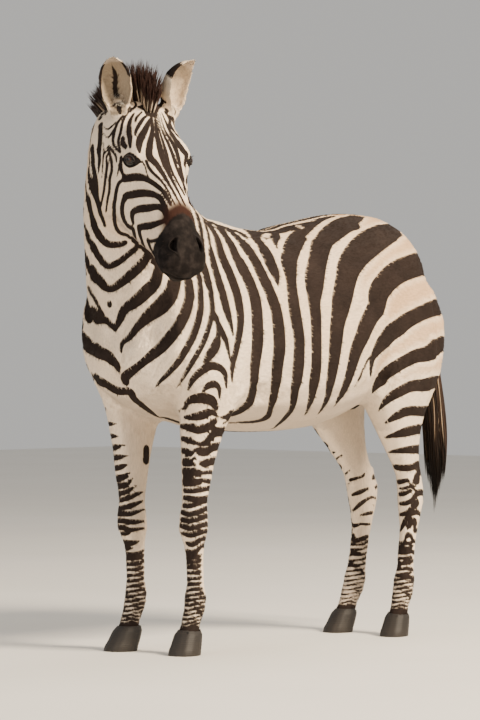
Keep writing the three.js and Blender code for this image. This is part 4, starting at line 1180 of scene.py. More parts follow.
def all_strokes(mesh):
    """Every dark stroke on the skin, and the pale gaps that cut through them."""
    head = tree_of(mesh, in_head)
    body = tree_of(mesh, lambda c: ~in_head(c))
    whole = tree_of(mesh)
    rng = np.random.default_rng(7)

    def seen(tree, bands, group, step=2.0):
        return [run for flat, halves in bands for run in seen_stroke(tree, flat, halves, group, step)]

    def both_sides(runs):
        return runs + mirrored_strokes(runs, body, other_side, hidden)

    cheek = seen(head, CHEEK_BANDS, "cheek", FINE_STEP) + seen(head, TEMPLE_LINES, "temple", FINE_STEP)
    strokes = cheek + mirrored_strokes(cheek, head, flip_head, hidden_cheek)
    for bands, group in ((BROW_BANDS, "brow"), (BROW_LINES, "line"), (FORELOCK_FOOT, "plain")):
        strokes += seen(head, bands, group, FINE_STEP)
    strokes += seen(body, THROAT_BANDS, "throat") + seen(whole, NECK_EDGE_BANDS, "throat")

    trunk = []
    for bands, group in ((SHOULDER_BANDS, "shoulder"), (BARREL_BANDS, "barrel"), (HAUNCH_BANDS, "haunch")):
        trunk += seen(body, bands, group)
    for flat, halves in HAUNCH_BANDS + BARREL_BANDS[-2:-1]:
        for run in seen_stroke(body, flat[:8], halves[:4], "haunch")[:1]:
            trunk.append(wrapped(body, rump_middle, run, **TRUNK_WRAP))
    strokes += both_sides(trunk)
    for flat, halves in HIDDEN_LEFT_BANDS:
        made = chart_stroke(body, flat, halves)
        strokes += both_sides(made) if flat[0] < 2.2 else made
    for flat, halves in HIDDEN_RIGHT_BANDS:
        strokes += chart_stroke(body, flat, halves)

    legs = {name: seen(body, bands, name) for name, bands in LEG_BANDS.items()}
    for name in LEGS:
        strokes += legs[name]
    strokes += seen(body, [CALLUS], "plain")
    legs["hind_left"] += seen(body, HAUNCH_BANDS[4:], "haunch")
    for name, (to_turn, least) in LEG_WRAPS.items():
        for run in legs[name]:
            turns = [turn_about(leg_middle(name, p[2]), p) for p in run[0]]
            if max(turns) > least and run[1].max() > LEAST_WRAPPED:
                middle_at = functools.partial(leg_middle, name)
                strokes.append(wrapped(body, middle_at, run, to_turn, rng.uniform(-10, 8)))
    strokes += mirrored_strokes(legs["hind_left"], body, flip_leg("hind_left", "hind_right"), hidden)
    for name in LEGS:
        strokes += lower_rings(body, name, rng)
    return strokes, both_sides(seen(body, PALE_GAPS, "plain"))


# ---- what the skin carries at each point, for its own material and for every tuft that grows on it ----
VALUES = ["mark", "buff", "grey", "bare", "chestnut", "ear", "faint", "leg", "face"]
MOST_INSIDE = 20  # marks are kept to this many millimetres inside a stroke
RIDGE = (25, 72)  # how far out from the spine its two dark edges lie
# Where the dark nose starts: degrees round the face from its middle, and how far down it.
DARK_NOSE = ((0, 9, 25, 33, 60, 90, 130, 180), (402, 406, 418, 426, 446, 460, 472, 468))
EAR_LENGTH = 182.0
EAR_HALVES = ((0.0, 0.2, 0.45, 0.7, 0.9, 1.0), (30, 34, 37, 31, 17, 6))  # by the share of its height
TURNED_MARGIN = 11  # the left ear's outer margin turns to the front, so its rim lies this much further out
EAR_STREAKS = {"left": (1.6, 1.0), "right": (4.6, 2.6)}  # half-widths of the dark middle and its branches
EAR_SHADE = {"left": 0.45, "right": 1.0}  # how far each ear's inside takes the shaded tint
WHITE_TIP = 0.87  # the share of the ear's height that its white tip starts from


def ear_axes(side):
    sign = SIDES[side]
    tipward = unit(UP * 0.90 + HEADING * 0.33 + TO_LEFT * 0.30 * sign)
    facing = HEADING * 0.88 + TO_LEFT * 0.47 * sign
    facing = unit(facing - tipward * (facing @ tipward))
    return np.array([tipward, facing, np.cross(tipward, facing)])


def ear_root(side):
    return head_point(*(EAR_ROOT * [1, SIDES[side], 1]))


def ear_coords(points, side):
    """Millimetres up an ear from its root, out of its opening and across it."""
    return (points - ear_root(side)) @ ear_axes(side).T / MM


def in_ear(points):
    made = np.zeros(len(points), bool)
    for side in SIDES:
        q = ear_coords(points, side)
        height = q[:, 0] / EAR_LENGTH
        near = (np.abs(q[:, 1]) < 60) & (np.abs(q[:, 2]) < 62)
        bowl = (height > 0.05) & (np.abs(q[:, 1]) < 24) & (np.abs(q[:, 2]) < 24)
        made |= (near & (height > 0.2) & (height < 1.2)) | bowl
    return made


def ear_inner_mark(height, across, side):
    """The dark middle line of an ear's inside, which waves, and the branches that slope off it."""
    streak_half, hair_half = EAR_STREAKS[side]
    streak = streak_half * ramp(height, -0.05, 0.15) * ramp(height, 0.84, 0.55)
    streak = streak - np.abs(across + 3 * np.sin(height * 14)) * 0.7
    branch = hair_half * np.sin((height * EAR_LENGTH - np.abs(across)) * 0.36) - np.abs(across) * 0.17
    branch = np.minimum(branch, (0.62 - height) * 40)
    return np.maximum(streak, np.minimum(branch, (height - 0.10) * 60))


def mark_ear(co, normals, values, side):
    """An ear: cream inside with a dark middle and rim and a painted shade, banded behind, with a white tip.
    """
    q = ear_coords(co, side)
    height = q[:, 0] / EAR_LENGTH
    across = q[:, 2] * SIDES[side]
    on = (height > 0.06) & (height < 1.2) & (np.abs(q[:, 1]) < 60) & (np.abs(q[:, 2]) < 62) & in_ear(co)
    facing = normals @ ear_axes(side)[1]
    outward = (normals @ ear_axes(side)[2]) * np.sign(q[:, 2])
    inside = (facing > 0.20) | (outward < -0.1)
    margin = (side == "left") & (across > 0)
    turned = margin & (facing > -0.4)
    base_band = np.minimum((height - 0.07) * 110, (0.24 - height) * 110)
    outer = np.maximum(base_band, np.minimum((height - 0.60) * 130, 8.0))
    outer = np.where(turned, -4.0, outer)
    half = np.interp(height, *EAR_HALVES) + np.where(margin, TURNED_MARGIN, 0)
    rim = (np.abs(across) - half + np.where(inside, -4, np.where(turned, 2, 8))) * 0.8
    rim = np.minimum(rim, (height - np.where(across > 0, 0.26, 0.60)) * 90)
    mark = np.maximum(np.where(inside, ear_inner_mark(height, across, side), outer), rim)
    mark = np.minimum(mark, (WHITE_TIP - height) * 130)
    values["mark"][on] = np.clip(mark[on], -MOST_INSIDE, MOST_INSIDE)
    # The inside's darker tint is partly its own colour and partly painted shade, taken fully in the right ear
    # and under half in the left.
    shade = EAR_SHADE[side] * ramp(height, 0.88, 0.81)
    values["ear"][on] = (np.maximum(ramp(facing, 0.0, 0.3), outward < -0.1) * shade)[on]
    values["bare"][on] = 0
    values["face"][on] = 0


def ridge_marks(co):
    """The two dark edges along the back, either side of the pale line by the spine."""
    x, y, z = trunk_coords(co)
    ridge = np.minimum(np.minimum(RIDGE[1] - np.abs(x), np.abs(x) - RIDGE[0]), np.minimum(y + 130, 290 - y))
    return np.where(~in_head(co) & (z > 1130), np.clip(ridge, NO_MARK, MOST_INSIDE), NO_MARK)


def bare_lids(co, side):
    """The bare skin round an eye: an almond with a longer inner corner."""
    eye_turn, lift, radius, ahead = eye_angles(co, side)
    level = radius * np.sin(np.radians(eye_turn))
    rise = radius * np.sin(np.radians(lift))
    almond = (np.abs(level / 33) ** 1.5 + np.abs((rise + 1) / 22) ** 1.5) ** (1 / 1.5)
    around = ramp(almond, 1.12, 0.96)
    corner = ramp(np.abs(rise + 3) - (42 - level) * 0.38, 1.5, -1.5) * (level > 10)
    return np.maximum(around, corner) * (radius < 48) * (ahead > 0.05)


def paint_face(co, values):
    """The dark nose, the chestnut hair above it and the bare skin round the eyes."""
    head = in_head(co)
    s, l, n = head_coords(co).T
    turn = np.abs(np.degrees(np.arctan2(l, n - AXIS_DEPTH)))
    nose = np.interp(turn, *DARK_NOSE)
    values["face"] = np.where(head, ramp(s, 20, 90), 0.0)
    values["bare"] = np.where(head, ramp(s, nose - 16, nose + 14), 0.0)
    values["chestnut"] = np.where(head, ramp(s, nose - 62, nose - 22) * ramp(turn, 60, 30), 0.0)
    for side in SIDES:
        values["bare"] = np.maximum(values["bare"], bare_lids(co, side))


def paint_body(co, normals, values):
    """Buff on the rump, back, flank and jaw, a grey painted shade under the body and head and inside the
    legs, grey dust low on the legs, and the bare sheath.
    """
    head = in_head(co)
    s, l, n = head_coords(co).T
    x, y, z = trunk_coords(co)
    body = ~head & (z > 560)
    values["leg"] = ramp(z, 800, 640) * ~head
    rump = ramp(y, 60, 330) * ramp(z, 820, 1060)
    back = ramp(z, 1120, 1240) * ramp(y, -250, 0)
    flank = ramp(y, -330, -120) * ramp(z, 760, 980) * 0.45
    jaw = np.where(head, ramp(n, -150, -215) * ramp(s, 360, 240) + ramp(s, 330, 400) * 0.5, 0.0)
    upper = np.maximum(np.maximum(rump * 0.8, back * 0.6), flank)
    values["buff"] = np.clip(np.where(body, upper, 0) + jaw * 0.55, 0, 1)
    # The grey is painted shade where the skin faces down or in towards the other legs; only its part low on
    # the legs is dust.
    inward = normals[:, 0] * -np.sign(x)
    inner_leg = ramp(inward, 0.15, 0.8) * ramp(z, 900, 740) * ramp(np.abs(x), 240, 200)
    belly = ramp(-normals[:, 2], 0.35, 0.85) * (z > 640)
    throat = ramp(-normals[:, 2], 0.2, 0.8) * head
    values["grey"] = np.clip(inner_leg * 0.7 + belly * 0.8 + throat * 0.4 + ramp(z, 300, 90) * 0.25, 0, 1)
    sheath = np.sqrt((x / 48) ** 2 + ((y - 420) / 76) ** 2 + ((z - 736) / 54) ** 2)
    values["bare"] = np.maximum(values["bare"], ramp(sheath, 1.1, 0.9) * ~head)
    mark = values["mark"]
    mark = np.where(body & (belly > 0.1), mark - belly * 5, mark)
    ventral = 14 - np.abs(x) - 40 * ramp(y, 250, 330) - 40 * ramp(y, -420, -470)
    mark = np.where(body & (belly > 0.5), np.maximum(mark, np.clip(ventral, -20, MOST_INSIDE)), mark)
    rear = np.where(y > 500, 12 - np.abs(x) - 50 * ramp(z, 900, 1000), NO_MARK)
    mark = np.maximum(mark, np.where(body, np.clip(rear, NO_MARK, MOST_INSIDE), NO_MARK))
    mark = np.where(z < 100, np.maximum(mark, np.clip((86 - z) * 1.0, -20, MOST_INSIDE)), mark)
    values["faint"] = ramp(mark, -8, -20) * body * ramp(z, 740, 860) * ramp(y, 120, 300)
    top = body & (np.abs(x) < 60) & (normals[:, 2] > 0.5) & (y > -260)
    pale_line = np.where((y > -60) & (y < 330), np.abs(x) - RIDGE[0], 99)
    spine = np.maximum(15 - np.abs(x), np.minimum(mark, pale_line))
    values["mark"] = np.where(top, np.clip(spine, NO_MARK, MOST_INSIDE), mark)


def paint(mesh):
    co, normals = points_of(mesh), normals_of(mesh)
    values = {name: np.zeros(len(co)) for name in VALUES}
    strokes, gaps = all_strokes(mesh)
    values["mark"] = np.minimum(np.maximum(marks_of(co, strokes), ridge_marks(co)), -marks_of(co, gaps))
    paint_face(co, values)
    paint_body(co, normals, values)
    for side in SIDES:
        mark_ear(co, normals, values, side)
    for name in VALUES:
        set_value(mesh, name, values[name])
    return values


# ---- materials ----
def colour(text):
    """A linear colour from an sRGB hex value."""
    parts = [int(text[k:k + 2], 16) / 255 for k in (1, 3, 5)]
    return [p / 12.92 if p <= 0.04045 else ((p + 0.055) / 1.055) ** 2.4 for p in parts] + [1.0]


def connect(node, inputs):
    """Gives each of a node's sockets a value, a colour as hex text or another node's output."""
    for key, value in inputs.items():
        if isinstance(value, bpy.types.NodeSocket):
            node.id_data.links.new(value, node.inputs[key])
        else:
            node.inputs[key].default_value = colour(value) if isinstance(value, str) else value


def add_node(tree, kind, inputs=None, out=0, **settings):
    """Adds a node with its settings and what its sockets take, and gives one of its outputs."""
    made = tree.nodes.new("ShaderNode" + kind)
    for key, value in settings.items():
        setattr(made, key, value)
    connect(made, inputs or {})
    return made.outputs[out]


COLOURS = {"data_type": "RGBA", "out": 2}  # makes a Mix one of colours
SMOOTH = {"interpolation_type": "SMOOTHSTEP"}


def new_material(name):
    material = bpy.data.materials.new(name)
    material.use_nodes = True
    tree = material.node_tree
    return material, functools.partial(add_node, tree), tree.nodes["Principled BSDF"]


PER_METRE = 1000.0  # a pattern of one step each millimetre has this scale
# How each region's hair streaks are turned, and their half-length each way in millimetres.
BACK_LIE = ((0.0, 0.0, 0.0), (1.1, 9.0, 2.6))
LEG_LIE = ((0.0, 0.0, 0.0), (0.9, 0.9, 9.0))
FACE_LIE = ((0.0, HEAD_DROP, HEAD_TURN - math.pi / 2), (7.0, 0.8, 0.8))


def hair_height(add, place):
    """Fine streaks along the lie of the coat: back and down the trunk, down the legs, down the face."""
    streaks = []
    for turn, step in (BACK_LIE, LEG_LIE, FACE_LIE):
        scale = [PER_METRE / (2 * s) for s in step]
        turned = add("Mapping", {"Vector": place, "Rotation": turn}, vector_type="TEXTURE")
        sized = add("VectorMath", {0: turned, 1: scale}, operation="MULTIPLY")
        streaks.append(add("TexNoise", {"Vector": sized, "Scale": 1.0, "Detail": 2.0}))
    leg = add("Attribute", out="Fac", attribute_name="leg")
    face = add("Attribute", out="Fac", attribute_name="face")
    lower = add("Mix", {0: leg, 2: streaks[0], 3: streaks[1]})
    return add("Mix", {0: face, 2: lower, 3: streaks[2]})


# The grey tint is painted shade under the body and inside the legs, with a little dust low on the legs.
PALE_TINTS = (
    ("buff", 0.62, "#d6b084"), ("grey", 0.75, "#a3968a"), ("faint", 0.5, "#b98a58"), ("ear", 0.8, "#978670"),
)


def coat_material():
    """Short dull zebra hair: black-brown stripes on cream with hairy edges, and black skin at the nose."""
    material, add, shader = new_material("short_striped_hair")
    place = add("TexCoord", out="Object")
    read = {name: add("Attribute", out="Fac", attribute_name=name) for name in VALUES}
    hair = hair_height(add, place)
    cloud = add("TexNoise", {"Vector": place, "Scale": PER_METRE / 90, "Detail": 3.0})
    ragged = add("TexNoise", {"Vector": place, "Scale": PER_METRE / 7, "Detail": 2.0})
    wave = add("Math", {0: ragged, 1: 2.0, 2: -1.0}, operation="MULTIPLY_ADD")
    frayed = add("Math", {0: hair, 1: 2.0, 2: wave}, operation="MULTIPLY_ADD")
    edge = add("Math", {0: read["mark"], 1: frayed}, operation="ADD")
    dark = add("MapRange", {0: edge, 1: -0.1, 2: 2.1}, **SMOOTH)
    pale = add("Mix", {0: cloud, 6: "#fae8d2", 7: "#eed8bc"}, **COLOURS)
    for name, share, tint in PALE_TINTS:
        part = add("Math", {0: read[name], 1: share}, operation="MULTIPLY")
        pale = add("Mix", {0: part, 6: pale, 7: tint}, **COLOURS)
    black = add("Mix", {0: cloud, 6: "#1b1513", 7: "#342a26"}, **COLOURS)
    both = add("Mix", {0: dark, 6: pale, 7: black}, **COLOURS)
    dusty = add("TexNoise", {"Vector": place, "Scale": PER_METRE / 28, "Detail": 4.0})
    dust = add("MapRange", {0: dusty, 1: 0.45, 2: 0.75})
    muzzle = add("Mix", {0: dust, 6: "#120e0d", 7: "#2e2826"}, **COLOURS)
    both = add("Mix", {0: read["chestnut"], 6: both, 7: "#352019"}, **COLOURS)
    spotty = add("Math", {0: ragged, 1: 0.5, 2: -0.25}, operation="MULTIPLY_ADD")
    skinned = add("Math", {0: read["bare"], 1: spotty}, operation="ADD")
    bared = add("MapRange", {0: skinned, 1: 0.25, 2: 0.75}, **SMOOTH)
    both = add("Mix", {0: bared, 6: both, 7: muzzle}, **COLOURS)
    tone = add("MapRange", {0: hair, 1: 0.25, 2: 0.75, 3: 0.80, 4: 1.12})
    toned = add("VectorMath", {0: both, 3: tone}, operation="SCALE")
    bump = add("Bump", {"Height": hair, "Strength": 0.5, "Distance": 0.8 * MM})
    connect(shader, {"Base Color": toned, "Normal": bump, "Roughness": 0.82, "Specular IOR Level": 0.12})
    return material


# ---- eyes ----
def eye_material():
    """A wet eye: a dark brown iris round a level oval pupil, under a clear front that mirrors the lights."""
    material, add, shader = new_material("wet_brown_eye")
    turn = add("Attribute", out="Fac", attribute_name="eye_turn")
    lift = add("Attribute", out="Fac", attribute_name="eye_lift")
    flat = add("CombineXYZ", {0: turn, 1: lift})
    oval = add("VectorMath", {0: flat, 1: (1 / 15, 1 / 9, 0)}, operation="MULTIPLY")
    pupil = add("VectorMath", {0: oval}, out="Value", operation="LENGTH")
    ring = add("VectorMath", {0: flat}, out="Value", operation="LENGTH")
    threads = add("TexNoise", {"Vector": flat, "Scale": 0.22, "Detail": 4.0})
    iris = add("Mix", {0: threads, 6: "#170c07", 7: "#3a2213"}, **COLOURS)
    edge = add("MapRange", {0: ring, 1: 25.0, 2: 33.0}, **SMOOTH)
    outer = add("Mix", {0: edge, 6: iris, 7: "#0c0806"}, **COLOURS)
    hole = add("MapRange", {0: pupil, 1: 1.12, 2: 0.92}, **SMOOTH)
    both = add("Mix", {0: hole, 6: outer, 7: "#050506"}, **COLOURS)
    connect(shader, {"Base Color": both, "Roughness": 0.08, "IOR": 1.3})
    connect(shader, {"Coat Weight": 0.4, "Coat Roughness": 0.02})
    return material


CORNEA = 1.5  # how far the clear front bulges
CORNEA_EDGES = (math.cos(math.radians(34)), math.cos(math.radians(8)))


def make_eye(side, material):
    gaze = eye_axes(side)[0]
    bm = bmesh.new()
    bmesh.ops.create_uvsphere(bm, u_segments=64, v_segments=48, radius=EYE_RADIUS * MM)
    facing = Vector((0, 0, 1)).rotation_difference(Vector(gaze)).to_matrix()
    bmesh.ops.rotate(bm, cent=(0, 0, 0), matrix=facing, verts=bm.verts)
    mesh = mesh_from(bm, f"eyeball_{side}")
    co = points_of(mesh)
    bulge = 1 + CORNEA / EYE_RADIUS * ramp(unit(co) @ gaze, *CORNEA_EDGES)
    co = EYE_CENTRES[side] + co * bulge[:, None]
    put_points(mesh, co)
    turn, lift = eye_angles(co, side)[:2]
    set_value(mesh, "eye_turn", turn)
    set_value(mesh, "eye_lift", lift)
    return add_piece(mesh, material, [f"eye_{side}"])


def eye_place(side, turn, lift, radius):
    a, b = math.sin(math.radians(turn)), math.sin(math.radians(lift))
    away = np.array([math.sqrt(max(1 - a * a - b * b, 0)), a, b])
    return EYE_CENTRES[side] + unit(away) @ eye_axes(side) * radius * MM


def lid_loop(side, radius, steps=24):
    turns = LID_REACH * np.cos(np.linspace(math.pi, 0, steps))
    upper = [eye_place(side, t, lid_height(t, UPPER_LID), radius) for t in turns]
    lower = [eye_place(side, t, -lid_height(t, LOWER_LID), radius) for t in turns[::-1][1:-1]]
    return upper + lower


def round_cord(name, points, radius):
    """A closed mesh tube through points, made by bevelling a curve."""
    data = bpy.data.curves.new("cord", "CURVE")
    data.dimensions = "3D"
    data.bevel_depth = radius
    data.bevel_resolution = 3
    spline = data.splines.new("POLY")
    spline.points.add(len(points) - 1)
    for point, place in zip(spline.points, points):
        point.co = (*place, 1.0)
    spline.use_cyclic_u = True
    return evaluated_mesh(name, new_object("cord", data))


def bare_skin_material():
    """Bare black skin at the lids' rims: fine pores, smooth and a little moist."""
    material, add, shader = new_material("bare_lid_skin")
    place = add("TexCoord", out="Object")
    pores = add("TexNoise", {"Vector": place, "Scale": PER_METRE / 1.5, "Detail": 3.0})
    tint = add("Mix", {0: pores, 6: "#120d0c", 7: "#2a201d"}, **COLOURS)
    bump = add("Bump", {"Height": pores, "Strength": 0.4, "Distance": 0.3 * MM})
    connect(shader, {"Base Color": tint, "Normal": bump, "Roughness": 0.32})
    return material


LID_RIM = 1.5
LID_RIM_OUT = 1.2


def make_lids(side, material):
    mesh = round_cord(f"lid_rim_{side}", lid_loop(side, EYE_RADIUS + LID_RIM_OUT), LID_RIM * MM)
    return add_piece(mesh, material)


# ---- hooves ----
GROWTH_RING = 5.5  # millimetres from ring to ring
HORN_GRAIN = (PER_METRE * 0.9, PER_METRE * 0.9, PER_METRE * 0.09)  # fibres about 1 mm thick and 11 mm long


def hoof_material():
    """Hoof horn: grey-brown, near black at the coronet, ringed by growth, with fine upright fibres."""
    material, add, shader = new_material("ringed_hoof_horn")
    place = add("TexCoord", out="Object")
    upright = add("SeparateXYZ", {0: place}, out=2)
    wobble = add("TexNoise", {"Vector": place, "Scale": PER_METRE / 40, "Detail": 2.0})
    height = add("Math", {0: wobble, 1: 6 * MM, 2: upright}, operation="MULTIPLY_ADD")
    rings = add("Math", {0: height, 1: 2 * math.pi * PER_METRE / GROWTH_RING}, operation="MULTIPLY")
    wave = add("Math", {0: rings}, operation="SINE")
    grain = add("VectorMath", {0: place, 1: HORN_GRAIN}, operation="MULTIPLY")
    fibre = add("TexNoise", {"Vector": grain, "Scale": 1.0, "Detail": 3.0})
    rise = add("MapRange", {0: upright, 1: 0.0, 2: 0.06})
    horn = add("Mix", {0: rise, 6: "#2f2923", 7: "#171311"}, **COLOURS)
    streaked = add("Mix", {0: fibre, 6: horn, 7: "#221d19"}, **COLOURS)
    relief = add("Math", {0: wave, 1: 0.35, 2: fibre}, operation="MULTIPLY_ADD")
    bump = add("Bump", {"Height": relief, "Strength": 0.6, "Distance": 0.5 * MM})
    connect(shader, {"Base Color": streaked, "Normal": bump, "Roughness": 0.62})
    return material


def make_hoof(leg, material):
    """The hoof's own solid with its edges eased and faint growth rings, kept above the floor."""
    bm = solid_copy(f"hoof_{leg}")
    sharp = [e for e in bm.edges if e.is_manifold and e.calc_face_angle() > math.radians(38)]
    bmesh.ops.bevel(bm, geom=sharp, offset=1.6 * MM, segments=2, profile=0.5, affect="EDGES", material=-1)
    bmesh.ops.triangulate(bm, faces=[f for f in bm.faces if len(f.verts) > 4])
    bmesh.ops.subdivide_edges(bm, edges=bm.edges, cuts=2, use_grid_fill=True)
    mesh = mesh_from(bm, f"hoof_{leg}_horn")
    co, normals = points_of(mesh), normals_of(mesh)
    z = co[:, 2] / MM
    ring = 0.35 * np.sin(z * 2 * math.pi / 9.0) * ramp(z, 3, 10)
    co += normals * (ring[:, None] * [1, 1, 0]) * MM
    co[:, 2] = np.maximum(co[:, 2], 0)
    put_points(mesh, co)
    return add_piece(mesh, material, [f"hoof_{leg}"])


# ---- locks and tufts: many small closed shapes joined into one mesh ----
def mesh_of(name, co, faces):
    mesh = bpy.data.meshes.new(name)
    mesh.from_pydata(co.tolist(), [], faces, shade_flat=False)
    return mesh


BAKE_PATCH = 0.003  # how wide a lock's or tuft's patch is on the unwrap


def set_bake_map(mesh, unwrap, each):
    """Gives every lock or tuft, of so many points each, a small patch of the unwrap at its root's place."""
    loops = array_of(mesh.loops, "vertex_index", np.int32, 1)[:, 0]
    corner = loops % each
    turn = corner * 2 * math.pi / each
    patch = np.column_stack([np.cos(turn), np.sin(turn)]) * BAKE_PATCH / 2
    layer = mesh.uv_layers.new(name="OFBake")
    inside = np.clip(unwrap, BAKE_PATCH, 1 - BAKE_PATCH)
    layer.data.foreach_set("uv", (inside[loops // each] + patch).astype(np.float32).ravel())


LOCK_SIDES = 3
LOCK_THIN = 0.5  # its thickness as a share of its width


def locks(name, paths, widths, flats):
    """Tapering locks along paths (locks x stations x 3); flats say which way their flat side faces."""
    count, stations, _ = paths.shape
    run = unit(np.gradient(paths, axis=1))
    across = unit(np.cross(run, flats[:, None, :]))
    out = np.cross(across, run)
    turn = np.arange(LOCK_SIDES) * 2 * math.pi / LOCK_SIDES
    wide = widths[:, :-1, None, None]
    rings = paths[:, :-1, None, :] + wide * (np.cos(turn)[:, None] * across[:, :-1, None, :]
                                            + LOCK_THIN * np.sin(turn)[:, None] * out[:, :-1, None, :])
    each = LOCK_SIDES * (stations - 1) + 1
    co = np.concatenate([rings.reshape(count, -1, 3), paths[:, -1:]], axis=1)
    start = (np.arange(count) * each)[:, None, None]
    k = np.arange(stations - 2)[None, :, None] * LOCK_SIDES
    j = np.arange(LOCK_SIDES)[None, None, :]
    j2 = (j + 1) % LOCK_SIDES
    ring = start + k
    bands = np.stack([ring + j, ring + j2, ring + LOCK_SIDES + j2, ring + LOCK_SIDES + j], -1)
    last = start + LOCK_SIDES * (stations - 2)
    tips = np.stack([last + j, last + j2, np.broadcast_to(start + each - 1, (count, 1, LOCK_SIDES))], -1)
    caps = start + np.arange(LOCK_SIDES)[::-1]
    faces = [face for group in (bands, tips, caps) for face in group.reshape(-1, group.shape[-1]).tolist()]
    return mesh_of(name, co.reshape(-1, 3), faces), each


def nearest_values(tree, mesh, points, values, names):
    """What the skin carries at the places nearest to points."""
    co = points_of(mesh)
    made = {name: np.zeros(len(points)) for name in names}
    for k, p in enumerate(points.tolist()):
        face = mesh.polygons[tree.find_nearest(p)[2]]
        corners = list(face.vertices)
        weight = 1 / (np.linalg.norm(co[corners] - p, axis=1) + 1e-4) ** 2
        for name in names:
            made[name][k] = values[name][corners] @ weight / weight.sum()
    return made


# The mane: shares of the way from forelock to withers; its hair's length and how wide its roots stand there.
MANE = (
    (0, 0.05, 0.12, 0.3, 0.55, 0.8, 1),
    ((70, 36), (104, 50), (122, 56), (102, 52), (88, 46), (58, 40), (14, 28)),
)
MANE_LOCKS = 2600
MANE_LOCK_TAPER = (0.8, 1, 0.95, 0.8, 0.5, 0.1)
FORELOCK_LEANS = ((52, 6, 0.42), (26, 2, 0.25), (0, -8, 0.05))  # down the face, off the brow, lean forward
MANE_STATIONS = np.arange(6.3, 1.0, -0.53)  # places up the neck
MANE_LAST = (0, -288, 1286)


def mane_line():
    """The mane's foot from forelock to withers: rows of its place, the way up it and the way across it."""
    rows = [(head_point(s, 0, n), unit(UP + HEADING * lean), TO_LEFT) for s, n, lean in FORELOCK_LEANS]
    for at in MANE_STATIONS:
        _, side, rise, crest = neck_frame(at)
        rows.append((crest[0], rise[0], side[0]))
    rows.append((trunk_point(*MANE_LAST), UP, np.array([1.0, 0, 0])))
    return smooth_path([np.hstack(row) for row in rows], 0.012)


def hair_material(name, base, tip, pale, tip_from):
    """Coarse hair in locks: each has its root's band and its tip's colour, streaked, with a soft gloss."""
    material, add, shader = new_material(name)
    read = {k: add("Attribute", out="Fac", attribute_name=k) for k in ("mark", "tip", "tone")}
    place = add("TexCoord", out="Object")
    dark = add("MapRange", {0: read["mark"], 1: -3.0, 2: 3.0}, **SMOOTH)
    light = add("Mix", {0: read["tone"], 6: pale, 7: "#a8917a"}, **COLOURS)
    deep = add("Mix", {0: read["tone"], 6: base, 7: "#3b2a20"}, **COLOURS)
    root = add("Mix", {0: dark, 6: light, 7: deep}, **COLOURS)
    reach = {0: read["tip"], 1: tip_from, 2: tip_from + 0.28}
    ends = add("MapRange", reach, **SMOOTH)
    whole = add("Mix", {0: ends, 6: root, 7: tip}, **COLOURS)
    streak = add("TexNoise", {"Vector": place, "Scale": PER_METRE / 3, "Detail": 2.0})
    tone = add("MapRange", {0: streak, 1: 0.3, 2: 0.7, 3: 0.75, 4: 1.2})
    toned = add("VectorMath", {0: whole, 3: tone}, operation="SCALE")
    connect(shader, {"Base Color": toned, "Roughness": 0.65, "Specular IOR Level": 0.2})
    return material


def finish_locks(mesh, each, material, per_lock, stations, unwrap, replaces=()):
    """Adds each lock's own values and how far along it each point is, and makes the piece."""
    share = np.append(np.repeat(np.linspace(0, 1, stations)[:-1], LOCK_SIDES), 1.0)
    set_value(mesh, "tip", np.tile(share, len(unwrap)))
    for key, values in per_lock.items():
        set_value(mesh, key, np.repeat(values, each))
    set_bake_map(mesh, unwrap, each)
    return add_piece(mesh, material, replaces)


def row_at(line, share):
    """A path's row at each share of the way along it."""
    index = share * (len(line) - 1)
    return np.stack([np.interp(index, np.arange(len(line)), column) for column in line.T], -1)


def make_mane(skin_mesh, values, tree):
    rng = np.random.default_rng(11)
    line = mane_line()
    share = rng.uniform(0, 1, MANE_LOCKS)
    row = row_at(line, share)
    length, wide = along(share, *MANE).T
    sideways = rng.uniform(-1, 1, MANE_LOCKS)
    feet = row[:, :3] + row[:, 6:] * (sideways * wide * 0.40 * MM)[:, None] - row[:, 3:6] * 4 * MM
    roots = on_tree(tree, feet)[0]
    forward = np.cross(row[:, 3:6], row[:, 6:])
    lean = rng.normal(0, 0.09, (MANE_LOCKS, 2))
    aim = unit(row[:, 3:6] + row[:, 6:] * (sideways * 0.20 + lean[:, 0])[:, None] + forward * lean[:, 1:])
    reach = (length * rng.uniform(0.86, 1.06, MANE_LOCKS) * (1 - 0.12 * sideways ** 2)) * MM
    bend = unit(rng.normal(0, 1, (MANE_LOCKS, 3)))
    at = np.linspace(0, 1, len(MANE_LOCK_TAPER))[None, :, None]
    paths = roots[:, None] - aim[:, None] * 3 * MM + aim[:, None] * at * reach[:, None, None]
    paths = paths + bend[:, None] * (at ** 2) * reach[:, None, None] * 0.06
    widths = rng.uniform(2.0, 3.3, MANE_LOCKS)[:, None] * np.array(MANE_LOCK_TAPER) * MM
    mesh, each = locks("mane_locks", paths, widths, row[:, 6:])
    found = nearest_values(tree, skin_mesh, roots, values, ["mark"])
    mark = np.where(share < 0.14, 6 + 9 * np.sin(sideways * 9 + share * 12), found["mark"] + 5)
    unwrap = np.column_stack([0.03 + 0.94 * share, 0.5 + 0.4 * sideways])
    material = hair_material("mane_hair_coarse", "#1c1310", "#2b1710", "#dccdb8", 0.34)
    per_lock = {"mark": np.clip(mark, -20, 20), "tone": rng.uniform(0, 1, MANE_LOCKS)}
    return finish_locks(mesh, each, material, per_lock, len(MANE_LOCK_TAPER), unwrap, ["mane"])


TAIL_LOCKS = 1500
TAIL_STATIONS = 12
# The hanging tail: places in the trunk's millimetres, and how far its hair spreads there.
TAIL_PATH = [
    (50, 737, 915, 27), (60, 742, 820, 39), (72, 748, 680, 46),
    (78, 750, 540, 42), (78, 748, 430, 27), (76, 745, 352, 9),
]


TAIL_LOCK_TAPER = ((0, 0.1, 0.6, 1), (0.6, 1, 0.85, 0.1))


